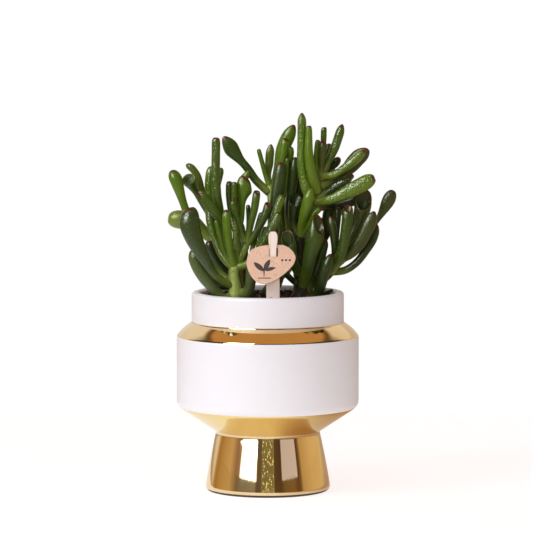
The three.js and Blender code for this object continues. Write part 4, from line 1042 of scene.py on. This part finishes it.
def scatter_tree():
    w, given = new_tree("Crumbly soil", SOIL_INPUTS)
    place = w.node("GeometryNodeInputPosition").outputs[0]
    on_top = w.math("GREATER_THAN", w.split(place)[2], given["Top"])
    radius = w.vector("LENGTH", w.vector("MULTIPLY", place, (1, 1, 0)))
    inside = w.times(on_top, w.math("LESS_THAN", radius, given["Reach"]))
    rough = w.node("ShaderNodeTexNoise", {"Vector": place, "Scale": 130.0, "Detail": 4.0}).outputs[0]
    lift = w.node("ShaderNodeCombineXYZ", {2: w.times(w.minus(rough, 0.5), given["Lumps"])}).outputs[0]
    bed = w.node("GeometryNodeSetPosition", {"Geometry": given["Bed"], "Selection": inside,
                                             "Offset": lift}).outputs[0]

    def painted(shape, material):
        return w.node("GeometryNodeSetMaterial", {"Geometry": shape, "Material": material}).outputs[0]

    def scattered(shape, density, seed, sizes, material):
        points = w.node("GeometryNodeDistributePointsOnFaces", {
            "Mesh": bed, "Selection": inside, "Density": w.times(density, PER_SQUARE_MM), "Seed": seed,
        }).outputs["Points"]
        spin = w.node("FunctionNodeRandomValue", {"Min": (0, 0, 0), "Max": (ANY_TURN,) * 3, "Seed": seed},
                      data_type="FLOAT_VECTOR").outputs[0]
        small, large = sizes
        size = w.node("FunctionNodeRandomValue", {2: small, 3: large, "Seed": w.plus(seed, 1)}).outputs[1]
        copies = w.node("GeometryNodeInstanceOnPoints", {"Points": points, "Instance": shape,
                                                         "Rotation": spin, "Scale": size}).outputs[0]
        return painted(w.node("GeometryNodeRealizeInstances", {0: copies}).outputs[0], material)

    ball = w.node("GeometryNodeMeshIcoSphere", {"Radius": 1.0, "Subdivisions": 2}).outputs[0]
    bumps = w.node("ShaderNodeTexNoise", {"Vector": place, "Scale": 1.1, "Detail": 3.0}).outputs["Color"]
    push = w.scaled(w.vector("SUBTRACT", bumps, (0.5, 0.5, 0.5)), 1.5)
    crumb = w.node("GeometryNodeSetPosition", {"Geometry": ball, "Offset": push}).outputs[0]
    bend = w.node("GeometryNodeCurvePrimitiveBezierSegment", {
        "Resolution": 8, "Start": (-5, 0, 0), "Start Handle": (-2, 2.5, 1),
        "End Handle": (2, -1.5, 1.5), "End": (5, 0.5, 0)}).outputs[0]
    ring = w.node("GeometryNodeCurvePrimitiveCircle", {"Resolution": 6, "Radius": 0.22}).outputs[0]
    thread = w.node("GeometryNodeCurveToMesh", {"Curve": bend, "Profile Curve": ring,
                                                "Fill Caps": True}).outputs[0]
    seed = given["Seed"]
    crumbs = scattered(crumb, given["Crumbs"], seed, CRUMB_SIZES, given["Soil"])
    fibres = scattered(thread, given["Fibres"], w.plus(seed, 5), FIBRE_SIZES, given["Fibre"])
    joined = w.node("GeometryNodeJoinGeometry")
    for part in (fibres, crumbs, painted(bed, given["Soil"])):
        w.feed(joined.inputs[0], part)
    whole = w.node("GeometryNodeRealizeInstances", {0: joined.outputs[0]}).outputs[0]
    w.node("NodeGroupOutput", {0: whole})
    return w.tree


ground = grown_on(bed_mesh, scatter_tree(), {"Soil": soil, "Fibre": fibre})
add_piece("crumbly_soil", ground, "potting_soil", "soil")
print(len(ground.materials), "materials in the soil")

# %% [markdown]
# ## The tag
#
# A thin birch stick with a narrow neck, and a kraft card that hangs on the neck by a slot. Both are cut
# from sheet, so one helper makes them: an outline, with or without a hole, given a thickness, with all
# cut edges eased. The print is a plain motif of a sprout, laid on as thin ink shapes.

# %% A helper that cuts a piece out of a sheet
FLAT_FACE, BOTH_FLAT, SHARP_EDGE = 0.98, 1.5, 1.2  # shares of the normals, and an angle in radians


def closed_line(points, steps):
    """Rounds a closed outline with a Catmull-Rom line."""
    ring = [Vector(point) for point in points]
    line = []
    for i in range(len(ring)):
        a, b, c, d = (ring[(i + k) % len(ring)] for k in (-1, 0, 1, 2))
        for t in (step / steps for step in range(steps)):
            line.append(0.5 * (2 * b + (c - a) * t + (2 * a - 5 * b + 4 * c - d) * t * t
                               + (3 * b - a - 3 * c + d) * t**3))
    return [tuple(point) for point in line]


def cut(name, loops, thickness, ease, face, edge):
    """A sheet in the XZ plane, centred on y = 0. loops: the outline and its holes, in millimetres."""
    body = bmesh.new()
    for loop in loops:
        ring = [body.verts.new((x * MM, -0.5 * thickness * MM, z * MM)) for x, z in loop]
        for a, b in zip(ring, ring[1:] + ring[:1]):
            body.edges.new((a, b))
    bmesh.ops.triangle_fill(body, use_beauty=True, use_dissolve=False, edges=body.edges[:],
                            normal=(0, -1, 0))
    pushed = bmesh.ops.extrude_face_region(body, geom=body.faces[:])["geom"]
    corners = [item for item in pushed if isinstance(item, bmesh.types.BMVert)]
    bmesh.ops.translate(body, verts=corners, vec=(0, thickness * MM, 0))
    bmesh.ops.recalc_face_normals(body, faces=body.faces)
    if ease:
        sharp = [e for e in body.edges if len(e.link_faces) == 2
                 and abs(e.link_faces[0].normal.y) + abs(e.link_faces[1].normal.y) < BOTH_FLAT
                 and e.calc_face_angle() > SHARP_EDGE]
        bmesh.ops.bevel(body, geom=sharp, offset=ease * MM, segments=2, affect="EDGES", profile=0.5)
    for polygon in body.faces:
        flat = abs(polygon.normal.y) > FLAT_FACE
        polygon.material_index = 0 if flat else 1
        polygon.smooth = not flat
    return as_mesh(body, name, (face, edge))


def seat(mesh, tilt, place):
    """Tilts a sheet's top back by tilt degrees and moves it to its place, in millimetres."""
    mesh.transform(Matrix.Translation(Vector(place) * MM) @ Matrix.Rotation(math.radians(-tilt), 4, "X"))
    return mesh


print("sheet cutter ready")

# %% Birch, kraft card and ink
birch, w, inputs = new_material("Birch face", Roughness=0.62)
grain = w.noise(900, 4, (1, 1, 0.03))
wide = w.noise(260, 3, (1, 1, 0.05))
wood = w.mix(w.smooth(wide, 0.3, 0.7), linear(255, 240, 222), linear(252, 228, 204))
wood = w.mix(w.smooth(grain, 0.5, 0.8, 0.0, 0.5), wood, linear(216, 180, 150))
finish(w, inputs, wood, height=grain, depth=0.00006, strength=0.5)

kraft, w, inputs = new_material("Kraft card", Roughness=0.88)
pulp = w.noise(850, 4, (1, 1, 0.6))
board = w.mix(w.smooth(w.noise(120), 0.3, 0.7), linear(241, 202, 170), linear(233, 192, 159))
board = w.mix(w.smooth(pulp, 0.5, 0.7, 0.0, 0.5), board, linear(190, 144, 114))
finish(w, inputs, board, height=pulp, depth=0.00005, strength=0.5)

sawn = plain("Birch edge", 0.75, (238, 206, 182), (214, 176, 146), 700, 3, (1, 1, 0.1))
cut_edge = plain("Card edge", 0.9, (246, 218, 198), (214, 172, 142), 900)
ink = plain("Dark ink", 0.55, (38, 26, 24), (54, 38, 34), 700)
print("tag materials ready")

# %% Stick
TAG_X, TAG_Y, SLOT_Z, CARD_TILT = 3.6, -40, 171.2, 20
STICK_THICKNESS, CARD_THICKNESS, PRINT_THICKNESS, PRINT_Y = 1.4, 1.2, 0.08, -0.63
STICK_EASE, CARD_EASE = 0.22, 0.2
HALF_STICK = [(2.7, 112), (4.7, 118), (4.7, 149), (4.55, 152.5), (4.0, 155.5), (3.2, 158.2), (2.5, 160.6),
              (2.35, 163), (2.35, 173), (2.55, 175.6), (3.1, 178.4), (3.25, 181), (3.1, 183.2),
              (2.4, 184.9), (1.2, 185.7)]
stick_line = HALF_STICK + [(-x, z) for x, z in reversed(HALF_STICK)]
stick_mesh = cut("Stick", [stick_line], STICK_THICKNESS, STICK_EASE, birch, sawn)
add_piece("birch_stick", seat(stick_mesh, 0, (TAG_X, TAG_Y, 0)), "tag_wood", "tag_stick")

# %% Card
CARD_LINE = [(-18.3, -6.7), (-16.1, 0.4), (-11.9, 3.2), (-5.6, 4.9), (4.9, 5.3), (9.8, 3.9), (13.3, 1.1),
             (15.4, -2.5), (15.4, -5.3), (14, -8.8), (10.5, -13), (5.6, -17.2), (0.7, -20.4), (-3.5, -22.1),
             (-7.7, -22.5), (-11.9, -20.7), (-15.4, -16.5), (-17.5, -11.6)]
SLOT_HOLE = [(-2.75, -3.1), (3.4, -3.1), (3.4, 3.1), (-2.75, 3.1)]
CARD_PLACE = (TAG_X, TAG_Y, SLOT_Z)
card_mesh = cut("Card", [closed_line(CARD_LINE, 4), SLOT_HOLE], CARD_THICKNESS, CARD_EASE, kraft, cut_edge)
add_piece("kraft_card", seat(card_mesh, CARD_TILT, CARD_PLACE), "tag_card", "tag_card")


# %% The print on the card
DOT_SIDES = 19


def blade(root, tip, belly):
    """A pointed leaf shape between two points, as an outline."""
    root, tip = Vector(root), Vector(tip)
    across = (tip - root).orthogonal().normalized() * belly
    near, far = root.lerp(tip, 0.3), root.lerp(tip, 0.7)
    return closed_line([root, near + across * 0.8, far + across * 0.75, tip, far - across * 0.75,
                        near - across * 0.8], 5)


def dot(x, z, radius):
    return [(x + radius * math.cos(a), z + radius * math.sin(a))
            for a in np.linspace(0, WHOLE_TURN, DOT_SIDES + 1)[:-1]]


SPROUT = [blade((-6.2, -13.6), (-13.2, -7.4), 2.0), blade((-6.0, -12.6), (-2.2, -5.4), 1.9),
          blade((-6.0, -13.0), (1.6, -11.2), 1.5), blade((-6.1, -9.5), (-6.2, -18.2), 0.5)]
DOTS = [dot(x, -5.8, 0.8) for x in (6.4, 9.0, 11.6)]
LINE = [(-10.4, -18.9), (-1.6, -18.9), (-1.6, -18.3), (-10.4, -18.3)]
print_mesh = join("Print", [cut("Print", [shape], PRINT_THICKNESS, 0, ink, ink)
                            for shape in (*SPROUT, *DOTS, LINE)])
print_mesh.transform(Matrix.Translation((0, PRINT_Y * MM, 0)))  # just proud of the card's front
add_piece("sprout_print", seat(print_mesh, CARD_TILT, CARD_PLACE), "tag_card", "tag_card")
